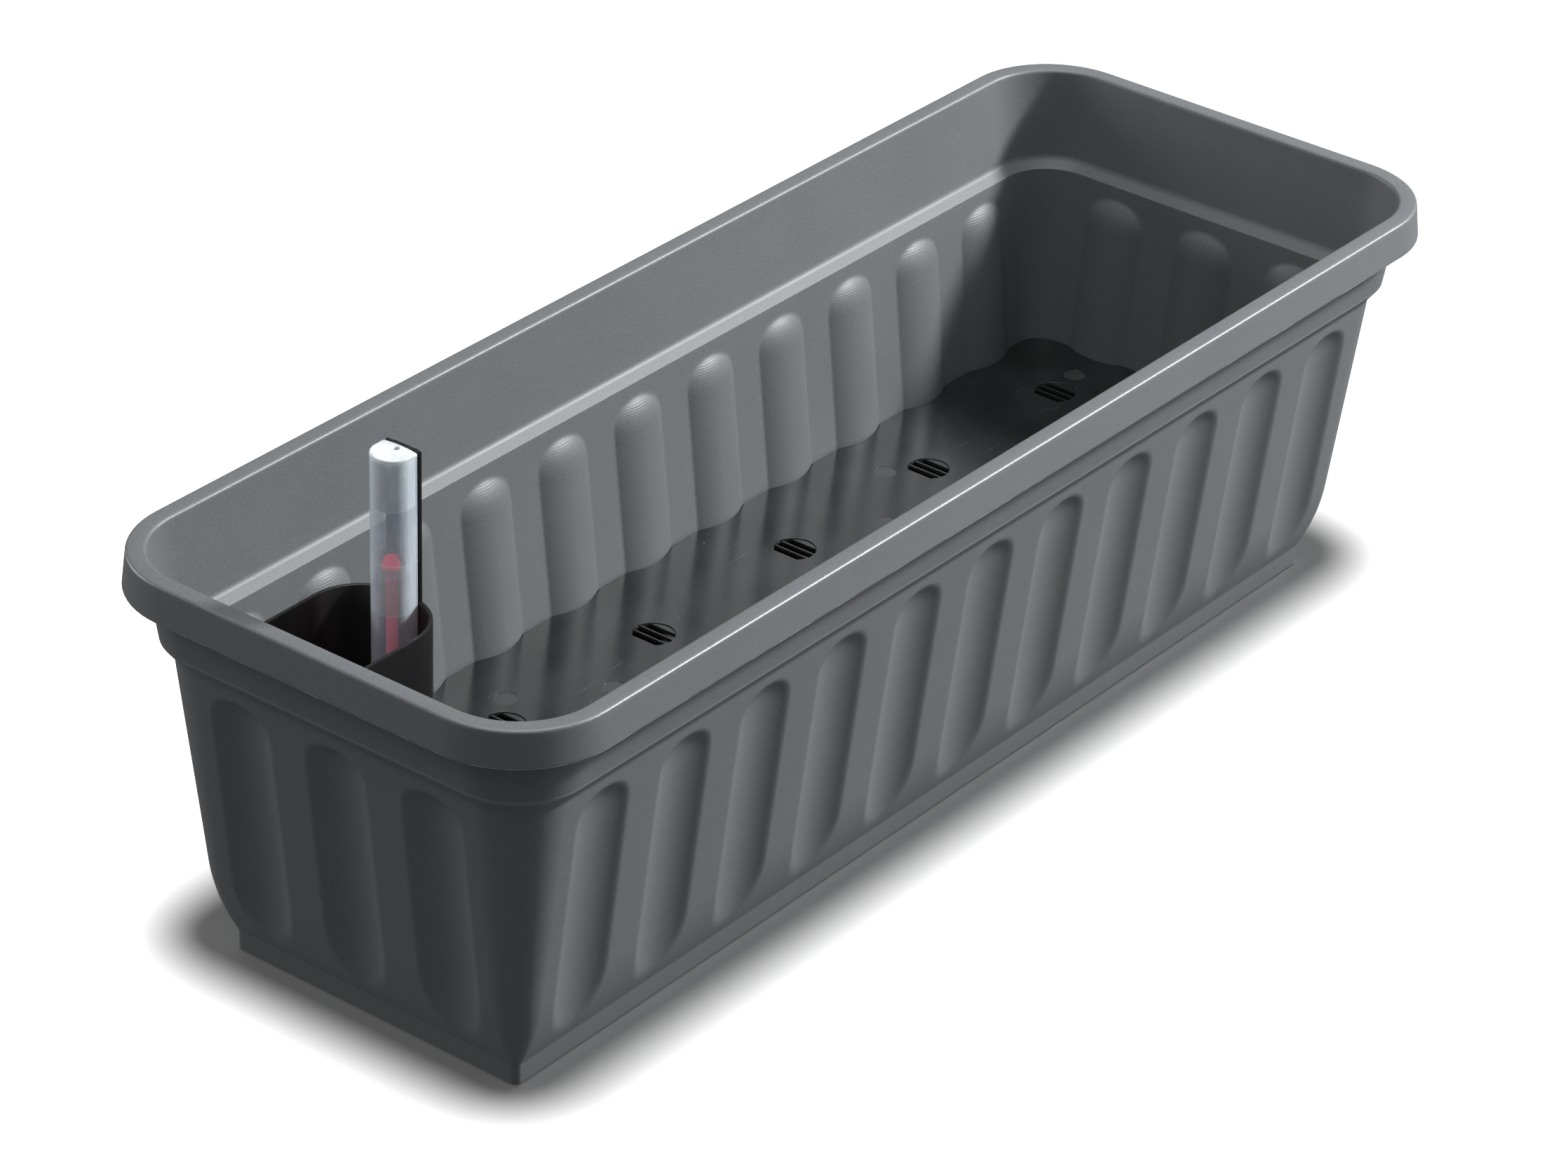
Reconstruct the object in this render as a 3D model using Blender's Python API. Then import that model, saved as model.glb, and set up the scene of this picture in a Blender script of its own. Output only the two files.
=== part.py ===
"""Self watering balcony planter: fluted trough, false floor, filling shaft and float gauge.

Metres, +Z up. The origin is the middle of the underside, X runs along the trough, and the
filling shaft with its gauge stands at the -X end. An inset is how far a surface lies inside
the outline of the rim, measured square to the side.
"""

import math

import bmesh
import bpy

# Trough
HALF_LENGTH = 0.300
HALF_WIDTH = 0.110
HEIGHT = 0.179
RIM_RADIUS = 0.0411
RIM_WIDTH = 0.008
RIM_EDGE = 0.001
WALL = 0.002
SKIRT_DEPTH = 0.015
SKIRT_FLARE = 0.0015
SHOULDER_Z = 0.1414
SHOULDER_INSET = 0.0116
SHOULDER_DRAFT = 0.155
WALL_TOP_Z = 0.133
WALL_TOP_INSET = 0.0171
WALL_DRAFT = 0.117
BOWL_TOP_Z = 0.042
BOWL_RADIUS = 0.0813
PLINTH_HEIGHT = 0.009
FLOOR_Z = 0.0032
STANDING_RING = 0.006
UNDERSIDE_RECESS = 0.0012
DRAIN_RADIUS = 0.005
DRAIN_DEPTH = 0.0008
DRAIN_PLACES = ((-0.195, 0.040), (-0.065, 0.040), (0.065, 0.040), (0.195, 0.040))
TIGHTEST_CORNER = 0.003
CORNER_STEPS = 6

# Flutes, pressed inwards all round the wall
FLUTE_PITCH = 0.0474
FLUTES_LONG = 11
FLUTES_END = 3
FLUTE_HALF_WIDTH = 0.0144
FLUTE_DEPTH = 0.004
FLUTE_TOP_Z = 0.1294

# False floor
PLATE_Z = 0.057
PLATE_THICKNESS = 0.002
PLATE_GAP = 0.0006
GRILLE_RADIUS = 0.009
GRILLE_RECESS = 0.0004
GRILLE_PITCH = 0.0925
GRILLE_Y = 0.041
GRILLE_COLUMNS = (-1.5, -0.5, 0.5, 1.5, 2.5)
SLOT_WIDTH = 0.0034
SLOT_BAR = 0.0009
LEG_PLACES = ((0.089, 0.026), (0.124, 0.053), (0.250, 0.044))
SHAFT_END_LEG = (0.222, 0.052)
LEG_WIDTH = 0.010
LEG_FIN = 0.0016
LEG_TAPER = 0.8

# Filling shaft
SHAFT_HALF_WIDTH = 0.0252
SHAFT_NOSE_X = -0.2415
SHAFT_NOSE_RADIUS = 0.022
SHAFT_WALL = 0.0016
SHAFT_TOP_Z = 0.1775
SHAFT_BOTTOM_Z = 0.050
SHAFT_WALL_GAP = 0.001
FLANGE_WIDTH = 0.002
FLANGE_HEIGHT = 0.0015
CATCH_X = -0.264
CATCH_LENGTH = 0.006
CATCH_REACH = 0.0014
CATCH_HEIGHT = 0.003
TAB_HALF_WIDTH = 0.0083
TAB_TOP_Z = 0.240
SOCKET_TOP_Z = 0.070
SOCKET_GAP = 0.0005
SOCKET_WALL = 0.0012

# Gauge, a D section with its broad back to the shaft's tab
TUBE_HALF_WIDTH = 0.0083
TUBE_BACK_RADIUS = 0.045
TUBE_DEPTH = 0.0136
TUBE_WALL = 0.001
TUBE_BOTTOM_Z = 0.0068
TUBE_TOP_Z = 0.238
CAP_TOP_Z = 0.240
CAP_SKIRT_Z = 0.218
CAP_SKIRT_WALL = 0.0007
CAP_EDGE = 0.0006
VENT_RADIUS = 0.0012
VENT_FROM_BACK = 0.003
GUIDE_BOTTOM_Z = 0.1745
GUIDE_TOP_Z = 0.1955
GUIDE_WALL = 0.0007
GUIDE_WEB_Z = 0.191
GUIDE_WEB = 0.0014
GUIDE_BORE_RADIUS = 0.0027
FOOT_BOTTOM_Z = 0.005
FOOT_SLOT = 0.0022

# Float and needle
AXIS_X = -0.2494
ROD_RADIUS = 0.0015
STEM_RADIUS = 0.0023
STEM_BOTTOM_Z = 0.155
HEAD_RADIUS = 0.0037
HEAD_BOTTOM_Z = 0.1913
HEAD_TOP_Z = 0.197
FLOAT_BOTTOM_Z = 0.0093
FLOAT_TOP_Z = 0.031
FLOAT_PLAY = 0.001
FLOAT_SOCKET = 0.008

TOUCH_GAP = 0.0003
ROUND_STEPS = 24

FLUTE_RADIUS = (FLUTE_HALF_WIDTH**2 + FLUTE_DEPTH**2) / (2 * FLUTE_DEPTH)
FLUTE_DOME_Z = FLUTE_TOP_Z - FLUTE_HALF_WIDTH
TUBE_BACK_X = SHAFT_NOSE_X - SHAFT_WALL - TOUCH_GAP

SCENE = bpy.context.scene


def clear_scene():
    for obj in list(bpy.data.objects):
        bpy.data.objects.remove(obj, do_unlink=True)
    for mesh in list(bpy.data.meshes):
        bpy.data.meshes.remove(mesh)


def plastic(name, colour, roughness, alpha=1.0):
    material = bpy.data.materials.new(name)
    material.use_nodes = True
    shader = material.node_tree.nodes["Principled BSDF"]
    shader.inputs["Base Color"].default_value = (*colour, 1.0)
    shader.inputs["Roughness"].default_value = roughness
    shader.inputs["Metallic"].default_value = 0.0
    shader.inputs["Alpha"].default_value = alpha
    material.diffuse_color = (*colour, alpha)
    return material


def add_object(name, bm, material=None):
    """A mesh object from a bmesh, with its faces turned outwards."""
    bmesh.ops.recalc_face_normals(bm, faces=bm.faces)
    mesh = bpy.data.meshes.new(name)
    bm.to_mesh(mesh)
    bm.free()
    if material:
        mesh.materials.append(material)
    obj = bpy.data.objects.new(name, mesh)
    SCENE.collection.objects.link(obj)
    return obj


def as_cutter(obj):
    obj.hide_render = True
    obj.display_type = "WIRE"
    return obj


def combine(obj, tool, operation):
    modifier = obj.modifiers.new(tool.name, "BOOLEAN")
    modifier.operation = operation
    modifier.solver = "EXACT"
    modifier.object = as_cutter(tool)


def skin_rows(bm, rows):
    """Quads between each closed row of points and the next, with both ends capped."""
    rings = [[bm.verts.new(point) for point in row] for row in rows]
    count = len(rings[0])
    for ring, following in zip(rings, rings[1:]):
        for i in range(count):
            j = (i + 1) % count
            bm.faces.new((ring[i], ring[j], following[j], following[i]))
    bm.faces.new(rings[0])
    bm.faces.new(reversed(rings[-1]))


def prism(bm, outline, bottom, top):
    """An upright prism on a closed (x, y) outline."""
    skin_rows(bm, [[(x, y, z) for x, y in outline] for z in (bottom, top)])


def box_outline(x0, x1, y0, y1):
    return [(x0, y0), (x1, y0), (x1, y1), (x0, y1)]


def circle_outline(x, y, radius, steps=ROUND_STEPS):
    turns = [2 * math.pi * i / steps for i in range(steps)]
    return [(x + radius * math.cos(t), y + radius * math.sin(t)) for t in turns]


def turned(bm, x, y, profile, steps=16):
    """A solid of revolution about the upright line through (x, y); profile is (radius, z) pairs."""
    skin_rows(bm, [[(*p, z) for p in circle_outline(x, y, radius, steps)] for radius, z in profile])


# Trough ---------------------------------------------------------------------------------


def bowl_inset(z):
    drop = max(BOWL_TOP_Z - z, 0.0)
    return BOWL_RADIUS - math.sqrt(BOWL_RADIUS**2 - drop**2)


def straight_inset(z):
    return WALL_TOP_INSET + WALL_DRAFT * (WALL_TOP_Z - z)


def wall_inset(z, thickness=0.0):
    """Inset of the plain wall, or of its inner face when a thickness is given."""
    drop = max(BOWL_TOP_Z - z, 0.0)
    slope = WALL_DRAFT + drop / math.sqrt(BOWL_RADIUS**2 - drop**2)
    return straight_inset(z) + bowl_inset(z) + thickness * math.hypot(1.0, slope)


def fluted_inset(across, z, thickness=0.0):
    """Inset at a distance across a flute's middle line; across is None where there is no flute.

    A flute is a groove of one radius, parallel to the straight wall, with a ball-shaped top end.
    It runs out where the bowl curves inwards past its floor.
    """
    plain = wall_inset(z, thickness)
    if across is None:
        return plain
    radius = FLUTE_RADIUS + thickness
    beyond = max(z - FLUTE_DOME_Z, 0.0)
    left = radius**2 - across**2 - beyond**2
    if left <= 0:
        return plain
    floor = straight_inset(z) + thickness * math.hypot(1.0, WALL_DRAFT) + FLUTE_DEPTH
    return max(plain, floor - radius + math.sqrt(left))


def flute_centres(count):
    return [(i - (count - 1) / 2) * FLUTE_PITCH for i in range(count)]


def side_stations(count, across_steps):
    """(place along the side, distance across the nearest flute) pairs for one straight side."""
    stations = []
    for centre in flute_centres(count):
        for step in across_steps:
            across = step * FLUTE_HALF_WIDTH
            stations.append((centre + across, across))
    return stations


def outline_columns(across_steps):
    """Every column of the outline, anticlockwise from the +X end of the near long side's corner.

    A straight column is ("x" or "y", sign, place, across); a corner one is ("corner", sx, sy, angle).
    """
    columns = []
    long_side = side_stations(FLUTES_LONG, across_steps)
    end_side = side_stations(FLUTES_END, across_steps)
    turns = [math.pi / 2 * i / CORNER_STEPS for i in range(CORNER_STEPS + 1)]
    for side, sign, stations, corner, start in (
        ("y", -1, long_side, (1, -1), -math.pi / 2),
        ("x", 1, end_side, (1, 1), 0.0),
        ("y", 1, [(-p, a) for p, a in long_side], (-1, 1), math.pi / 2),
        ("x", -1, [(-p, a) for p, a in end_side], (-1, -1), math.pi),
    ):
        columns += [(side, sign, place, across) for place, across in stations]
        columns += [("corner", *corner, start + turn) for turn in turns]
    return columns


def outline_row(columns, z, inset_at):
    """One closed row of points; inset_at gives the inset for a distance across a flute, or None."""
    plain = inset_at(None)
    radius = max(RIM_RADIUS - plain, TIGHTEST_CORNER)
    corner_x = HALF_LENGTH - plain - radius
    corner_y = HALF_WIDTH - plain - radius
    row = []
    for kind, sign, place, last in columns:
        if kind == "corner":
            x = sign * corner_x + radius * math.cos(last)
            y = place * corner_y + radius * math.sin(last)
        elif kind == "y":
            x = place
            y = sign * (HALF_WIDTH - inset_at(last))
        else:
            x = sign * (HALF_LENGTH - inset_at(last))
            y = place
        row.append((x, y, z))
    return row


def shoulder_profile():
    """(inset, z) pairs of the outer face, from under the rim down to the fluted wall."""
    under_rim = HEIGHT - WALL
    top_inset = SHOULDER_INSET - SHOULDER_DRAFT * (under_rim - SHOULDER_Z)
    step_in = WALL_TOP_INSET - SHOULDER_INSET
    step_down = SHOULDER_Z - WALL_TOP_Z
    profile = [(top_inset, under_rim)]
    for i in range(5):
        along = i / 4
        ease = along * along * (3 - 2 * along)
        profile.append((SHOULDER_INSET + ease * step_in, SHOULDER_Z - along * step_down))
    return profile


def moved_inside(profile, distance):
    """The profile's parallel on the side of the hollow."""
    moved = []
    for i, (inset, z) in enumerate(profile):
        before = profile[max(i - 1, 0)]
        after = profile[min(i + 1, len(profile) - 1)]
        run, fall = after[0] - before[0], before[1] - after[1]
        length = math.hypot(run, fall)
        moved.append((inset + distance * fall / length, z + distance * run / length))
    return moved


def rim_profile():
    """(inset, z) pairs over the rim, from the top of the inner wall to the skirt's root."""
    skirt_z = HEIGHT - SKIRT_DEPTH
    return [
        (RIM_WIDTH, HEIGHT - RIM_EDGE),
        (RIM_WIDTH - 0.3 * RIM_EDGE, HEIGHT - 0.3 * RIM_EDGE),
        (RIM_WIDTH - RIM_EDGE, HEIGHT),
        (RIM_EDGE, HEIGHT),
        (0.3 * RIM_EDGE, HEIGHT - 0.3 * RIM_EDGE),
        (0.0, HEIGHT - RIM_EDGE),
        (-SKIRT_FLARE, skirt_z),
        (WALL - SKIRT_FLARE, skirt_z),
        (WALL, HEIGHT - WALL),
    ]


def trough_rows():
    columns = outline_columns((-1.0, -0.55, 0.0, 0.55, 1.0))
    dome = [FLUTE_DOME_Z + FLUTE_HALF_WIDTH * math.cos(math.radians(t)) for t in (0, 25, 45, 65, 90)]
    bowl = [BOWL_TOP_Z + (PLINTH_HEIGHT - BOWL_TOP_Z) * i / 6 for i in range(7)]
    wall_heights = dome + bowl
    outer_profile = shoulder_profile()
    inner_profile = moved_inside(outer_profile, WALL)[1:]
    rows = []

    def plain(inset, z):
        rows.append(outline_row(columns, z, lambda across: inset))

    def fluted(z, thickness):
        rows.append(outline_row(columns, z, lambda across: fluted_inset(across, z, thickness)))

    plinth_inset = wall_inset(PLINTH_HEIGHT)
    inside_plinth = wall_inset(PLINTH_HEIGHT, WALL)
    plain(inside_plinth, FLOOR_Z)
    for z in reversed(wall_heights):
        fluted(z, WALL)
    for inset, z in reversed(inner_profile):
        plain(inset, z)
    for inset, z in rim_profile() + outer_profile:
        plain(inset, z)
    for z in wall_heights:
        fluted(z, 0.0)
    plain(plinth_inset, 0.0)
    plain(plinth_inset + STANDING_RING, 0.0)
    plain(plinth_inset + STANDING_RING, UNDERSIDE_RECESS)
    return rows


def make_trough(material):
    bm = bmesh.new()
    skin_rows(bm, trough_rows())
    trough = add_object("trough", bm, material)
    drains = bmesh.new()
    for x, y in DRAIN_PLACES:
        for side in (1, -1):
            outline = circle_outline(x, side * y, DRAIN_RADIUS)
            prism(drains, outline, -WALL, UNDERSIDE_RECESS + DRAIN_DEPTH)
    combine(trough, add_object("drain_marks", drains), "DIFFERENCE")
    return trough


# False floor ----------------------------------------------------------------------------


def grille_places():
    return [(column * GRILLE_PITCH, side * GRILLE_Y) for column in GRILLE_COLUMNS for side in (1, -1)]


def leg_places():
    places = []
    for side in (1, -1):
        places += [(x, side * y) for x, y in LEG_PLACES]
        places += [(-x, side * y) for x, y in LEG_PLACES[:-1]]
        places.append((-SHAFT_END_LEG[0], side * SHAFT_END_LEG[1]))
    return places


def cross_outline(x, y, width, fin):
    w, f = width / 2, fin / 2
    corners = [(w, f), (f, f), (f, w), (-f, w), (-f, f), (-w, f)]
    return [(x + a, y + b) for a, b in corners] + [(x - a, y - b) for a, b in corners]


def make_legs():
    bm = bmesh.new()
    top = PLATE_Z - PLATE_THICKNESS / 2
    bottom = FLOOR_Z + TOUCH_GAP
    for x, y in leg_places():
        wide = cross_outline(x, y, LEG_WIDTH, LEG_FIN)
        narrow = cross_outline(x, y, LEG_WIDTH * LEG_TAPER, LEG_FIN * LEG_TAPER)
        skin_rows(bm, [[(*p, bottom) for p in narrow], [(*p, top) for p in wide]])
    return add_object("plate_legs", bm)


def make_grille_recesses():
    bm = bmesh.new()
    for x, y in grille_places():
        prism(bm, circle_outline(x, y, GRILLE_RADIUS), PLATE_Z - GRILLE_RECESS, PLATE_Z + PLATE_THICKNESS)
    return add_object("grille_recesses", bm)


def make_grille_slots():
    """Three slots along Y in each grille, cut to the round of the recess."""
    bm = bmesh.new()
    pitch = SLOT_WIDTH + SLOT_BAR
    bottom = PLATE_Z - 2 * PLATE_THICKNESS
    top = PLATE_Z - GRILLE_RECESS / 2
    reach = GRILLE_RADIUS - GRILLE_RECESS / 2
    for x, y in grille_places():
        for column in (-1, 0, 1):
            left = column * pitch - SLOT_WIDTH / 2
            places = [left + SLOT_WIDTH * i / 4 for i in range(5)]
            arc = [(p, math.sqrt(reach**2 - p**2)) for p in places]
            outline = arc + [(p, -half) for p, half in reversed(arc)]
            prism(bm, [(x + a, y + b) for a, b in outline], bottom, top)
    return add_object("grille_slots", bm)


def make_insert_plate(material):
    columns = outline_columns((-1.0, -0.7, -0.35, 0.0, 0.35, 0.7, 1.0))
    rows = []
    for z in (PLATE_Z - PLATE_THICKNESS, PLATE_Z):
        rows.append(outline_row(columns, z, lambda across: fluted_inset(across, z, WALL) + PLATE_GAP))
    bm = bmesh.new()
    skin_rows(bm, rows)
    plate = add_object("insert_plate", bm, material)

    notch = bmesh.new()
    outline = shaft_outline(-TOUCH_GAP)
    prism(notch, outline, PLATE_Z - 3 * PLATE_THICKNESS, PLATE_Z + PLATE_THICKNESS)
    combine(plate, add_object("shaft_notch", notch), "DIFFERENCE")
    combine(plate, make_legs(), "UNION")
    combine(plate, make_grille_recesses(), "DIFFERENCE")
    combine(plate, make_grille_slots(), "DIFFERENCE")
    return plate


# Filling shaft --------------------------------------------------------------------------


def shaft_outline(offset, steps=10):
    """A U in plan, moved inwards by offset: a rounded nose towards +X and two straight legs."""
    half = SHAFT_HALF_WIDTH - offset
    radius = SHAFT_NOSE_RADIUS - offset
    centre_x = SHAFT_NOSE_X - SHAFT_NOSE_RADIUS
    centre_y = SHAFT_HALF_WIDTH - SHAFT_NOSE_RADIUS
    turns = [math.pi / 2 * i / steps for i in range(steps + 1)]
    quarter = [(centre_x + radius * math.cos(t), centre_y + radius * math.sin(t)) for t in turns]
    other = [(x, -y) for x, y in reversed(quarter)]
    return [(-HALF_LENGTH, -half), *other, *quarter, (-HALF_LENGTH, half)]


def shaft_wall_outline(outside, inside):
    return shaft_outline(outside) + shaft_outline(inside)[::-1]


def make_wall_envelope():
    """The space inside the trough's end wall, seen along Y, that the shaft's legs keep to."""
    heights = [PLINTH_HEIGHT, BOWL_TOP_Z, WALL_TOP_Z]
    line = [(-HALF_LENGTH + wall_inset(z, WALL) + SHAFT_WALL_GAP, z) for z in heights]
    line.append((-HALF_LENGTH + SHOULDER_INSET + WALL + SHAFT_WALL_GAP, SHOULDER_Z))
    line.append((-HALF_LENGTH + RIM_WIDTH + SHAFT_WALL_GAP, HEIGHT))
    line.append((line[-1][0], TAB_TOP_Z + WALL))
    outline = line + [(0.0, line[-1][1]), (0.0, line[0][1])]
    bm = bmesh.new()
    skin_rows(bm, [[(x, y, z) for x, z in outline] for y in (-HALF_WIDTH, HALF_WIDTH)])
    return add_object("shaft_envelope", bm)


def d_outline(offset=0.0, back_steps=6, front_steps=16):
    """The gauge's D section, moved inwards by offset, anticlockwise from the back's -Y corner."""
    half = TUBE_HALF_WIDTH - offset
    back = TUBE_BACK_RADIUS - offset
    reach = math.asin(half / back)
    centre_x = TUBE_BACK_X - TUBE_BACK_RADIUS
    front_x = TUBE_BACK_X - TUBE_DEPTH + TUBE_HALF_WIDTH
    outline = []
    for i in range(back_steps + 1):
        turn = reach * (2 * i / back_steps - 1)
        outline.append((centre_x + back * math.cos(turn), back * math.sin(turn)))
    for i in range(front_steps + 1):
        turn = math.pi / 2 + math.pi * i / front_steps
        outline.append((front_x + half * math.cos(turn), half * math.sin(turn)))
    return outline


def make_gauge_socket():
    """A collar at the foot of the shaft that the tube stands in, its ends run into the nose."""
    inside = TUBE_HALF_WIDTH + SOCKET_GAP
    outside = inside + SOCKET_WALL
    wall_radius = SHAFT_NOSE_RADIUS - SHAFT_WALL / 2
    along = outside - SHAFT_HALF_WIDTH + SHAFT_NOSE_RADIUS
    back = SHAFT_NOSE_X - SHAFT_NOSE_RADIUS + math.sqrt(wall_radius**2 - along**2)
    middle = TUBE_BACK_X - TUBE_DEPTH + TUBE_HALF_WIDTH
    front = middle - outside
    turns = [math.pi * (i / 16 - 1.5) for i in range(17)]
    arc = [(middle + inside * math.cos(t), inside * math.sin(t)) for t in turns]
    outline = [(back, inside), *arc, (back, -inside), (back, -outside), (front, -outside)]
    bm = bmesh.new()
    prism(bm, [*outline, (front, outside), (back, outside)], SHAFT_BOTTOM_Z, SOCKET_TOP_Z)
    return add_object("gauge_socket", bm)


def make_catches():
    """Two teeth outside the shaft's legs that snap under the false floor."""
    bm = bmesh.new()
    top = PLATE_Z - PLATE_THICKNESS - TOUCH_GAP
    for side in (1, -1):
        inside = side * (SHAFT_HALF_WIDTH - SHAFT_WALL / 2)
        tip = side * (SHAFT_HALF_WIDTH + CATCH_REACH)
        profile = [(inside, top - CATCH_HEIGHT), (inside, top), (tip, top)]
        ends = (CATCH_X - CATCH_LENGTH / 2, CATCH_X + CATCH_LENGTH / 2)
        skin_rows(bm, [[(x, y, z) for y, z in profile] for x in ends])
    return add_object("shaft_catches", bm)


def make_fill_shaft(material):
    bm = bmesh.new()
    prism(bm, shaft_wall_outline(0.0, SHAFT_WALL), SHAFT_BOTTOM_Z, TAB_TOP_Z)
    shaft = add_object("fill_shaft", bm, material)

    flange = bmesh.new()
    bottom = PLATE_Z + TOUCH_GAP
    prism(flange, shaft_wall_outline(-FLANGE_WIDTH, SHAFT_WALL / 2), bottom, bottom + FLANGE_HEIGHT)
    combine(shaft, add_object("shaft_flange", flange), "UNION")
    combine(shaft, make_catches(), "UNION")

    above = bmesh.new()
    for side in (1, -1):
        edges = sorted((side * TAB_HALF_WIDTH, side * HALF_WIDTH))
        prism(above, box_outline(-HALF_LENGTH, 0.0, *edges), SHAFT_TOP_Z, TAB_TOP_Z + WALL)
    combine(shaft, add_object("beside_tab", above), "DIFFERENCE")
    # The tab is flat towards the gauge.
    face = bmesh.new()
    before_tab = box_outline(-HALF_LENGTH, SHAFT_NOSE_X - SHAFT_WALL, -SHAFT_HALF_WIDTH, SHAFT_HALF_WIDTH)
    prism(face, before_tab, SHAFT_TOP_Z, TAB_TOP_Z + WALL)
    combine(shaft, add_object("before_tab", face), "DIFFERENCE")
    combine(shaft, make_wall_envelope(), "INTERSECT")
    combine(shaft, make_gauge_socket(), "UNION")
    return shaft


# Gauge ----------------------------------------------------------------------------------


def make_gauge_tube(material):
    bm = bmesh.new()
    outer, inner = d_outline(), d_outline(TUBE_WALL)
    rings = []
    ends = (TUBE_BOTTOM_Z, TUBE_TOP_Z)
    for outline, z in ((inner, ends[0]), (outer, ends[0]), (outer, ends[1]), (inner, ends[1])):
        rings.append([bm.verts.new((x, y, z)) for x, y in outline])
    count = len(outer)
    for ring, following in zip(rings, rings[1:] + rings[:1]):
        for i in range(count):
            j = (i + 1) % count
            bm.faces.new((ring[i], ring[j], following[j], following[i]))
    return add_object("gauge_tube", bm, material)


def make_gauge_cap(material):
    skirt = TUBE_WALL + TOUCH_GAP
    inside = skirt + CAP_SKIRT_WALL
    flange_z = TUBE_TOP_Z + TOUCH_GAP
    under = CAP_TOP_Z - CAP_SKIRT_WALL - TOUCH_GAP
    section = (
        (CAP_EDGE, CAP_TOP_Z),
        (0.0, CAP_TOP_Z - CAP_EDGE),
        (0.0, flange_z),
        (skirt, flange_z),
        (skirt, CAP_SKIRT_Z),
        (inside, CAP_SKIRT_Z),
        (inside, under),
    )
    bm = bmesh.new()
    skin_rows(bm, [[(x, y, z) for x, y in d_outline(offset)] for offset, z in section])
    cap = add_object("gauge_cap", bm, material)

    vent = bmesh.new()
    hole = circle_outline(TUBE_BACK_X - VENT_FROM_BACK, 0.0, VENT_RADIUS, 12)
    prism(vent, hole, CAP_SKIRT_Z, CAP_TOP_Z + WALL)
    combine(cap, add_object("cap_vent", vent), "DIFFERENCE")
    return cap


def make_needle_guide(material):
    skirt = TUBE_WALL + TOUCH_GAP
    bm = bmesh.new()
    prism(bm, d_outline(skirt), GUIDE_BOTTOM_Z, GUIDE_TOP_Z)
    guide = add_object("needle_guide", bm, material)

    inside = d_outline(skirt + GUIDE_WALL)
    hollow = bmesh.new()
    prism(hollow, inside, GUIDE_WEB_Z, GUIDE_TOP_Z + WALL)
    prism(hollow, inside, GUIDE_BOTTOM_Z - WALL, GUIDE_WEB_Z - GUIDE_WEB)
    combine(guide, add_object("guide_hollow", hollow), "DIFFERENCE")
    bore = bmesh.new()
    prism(bore, circle_outline(AXIS_X, 0.0, GUIDE_BORE_RADIUS, 16), GUIDE_BOTTOM_Z, GUIDE_TOP_Z)
    combine(guide, add_object("guide_bore", bore), "DIFFERENCE")
    return guide


def make_gauge_foot(material):
    skirt = TUBE_WALL + TOUCH_GAP
    flange_top = TUBE_BOTTOM_Z - TOUCH_GAP
    collar_top = FLOAT_BOTTOM_Z - TOUCH_GAP
    bm = bmesh.new()
    section = ((0.0, FOOT_BOTTOM_Z), (0.0, flange_top), (skirt, flange_top), (skirt, collar_top))
    skin_rows(bm, [[(x, y, z) for x, y in d_outline(offset)] for offset, z in section])
    foot = add_object("gauge_foot", bm, material)

    slots = bmesh.new()
    reach = TUBE_HALF_WIDTH - 2 * skirt
    middle = TUBE_BACK_X - TUBE_DEPTH / 2
    for place in (-1, 0, 1):
        y = place * 2 * FOOT_SLOT
        outline = box_outline(middle - reach / 2, middle + reach / 2, y - FOOT_SLOT / 2, y + FOOT_SLOT / 2)
        prism(slots, outline, 0.0, FLOAT_BOTTOM_Z + WALL)
    combine(foot, add_object("foot_slots", slots), "DIFFERENCE")
    return foot


def make_needle(material):
    dome_z = HEAD_TOP_Z - HEAD_RADIUS
    profile = [
        (ROD_RADIUS, FLOAT_TOP_Z - FLOAT_SOCKET + TOUCH_GAP),
        (ROD_RADIUS, STEM_BOTTOM_Z),
        (STEM_RADIUS, STEM_BOTTOM_Z + STEM_RADIUS - ROD_RADIUS),
        (STEM_RADIUS, HEAD_BOTTOM_Z),
        (HEAD_RADIUS, HEAD_BOTTOM_Z),
        (HEAD_RADIUS, dome_z),
    ]
    for degrees in (25, 50, 75):
        turn = math.radians(degrees)
        profile.append((HEAD_RADIUS * math.cos(turn), dome_z + HEAD_RADIUS * math.sin(turn)))
    bm = bmesh.new()
    turned(bm, AXIS_X, 0.0, profile)
    return add_object("gauge_needle", bm, material)


def make_float(material):
    bm = bmesh.new()
    prism(bm, d_outline(TUBE_WALL + FLOAT_PLAY), FLOAT_BOTTOM_Z, FLOAT_TOP_Z)
    body = add_object("gauge_float", bm, material)
    socket = bmesh.new()
    outline = circle_outline(AXIS_X, 0.0, ROD_RADIUS + TOUCH_GAP, 16)
    prism(socket, outline, FLOAT_TOP_Z - FLOAT_SOCKET, FLOAT_TOP_Z + WALL)
    combine(body, add_object("float_socket", socket), "DIFFERENCE")
    return body


def shade_smooth(obj, degrees):
    obj.data.shade_smooth()
    obj.data.set_sharp_from_angle(angle=math.radians(degrees))


def main():
    clear_scene()
    anthracite = plastic("anthracite polypropylene", (0.085, 0.095, 0.100), 0.5)
    black = plastic("black polypropylene", (0.018, 0.018, 0.020), 0.35)
    clear = plastic("clear styrene", (0.80, 0.86, 0.90), 0.1, 0.35)
    milky = plastic("milky polypropylene", (0.72, 0.77, 0.80), 0.4, 0.7)
    red = plastic("red styrene", (0.80, 0.05, 0.09), 0.3)
    white = plastic("white foam", (0.85, 0.85, 0.83), 0.8)

    pieces = [
        make_trough(anthracite),
        make_insert_plate(black),
        make_fill_shaft(black),
        make_gauge_tube(clear),
        make_gauge_cap(milky),
        make_needle_guide(milky),
        make_gauge_foot(black),
        make_needle(red),
        make_float(white),
    ]
    for piece in pieces:
        shade_smooth(piece, 35)


main()
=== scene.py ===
import math
import random

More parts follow.
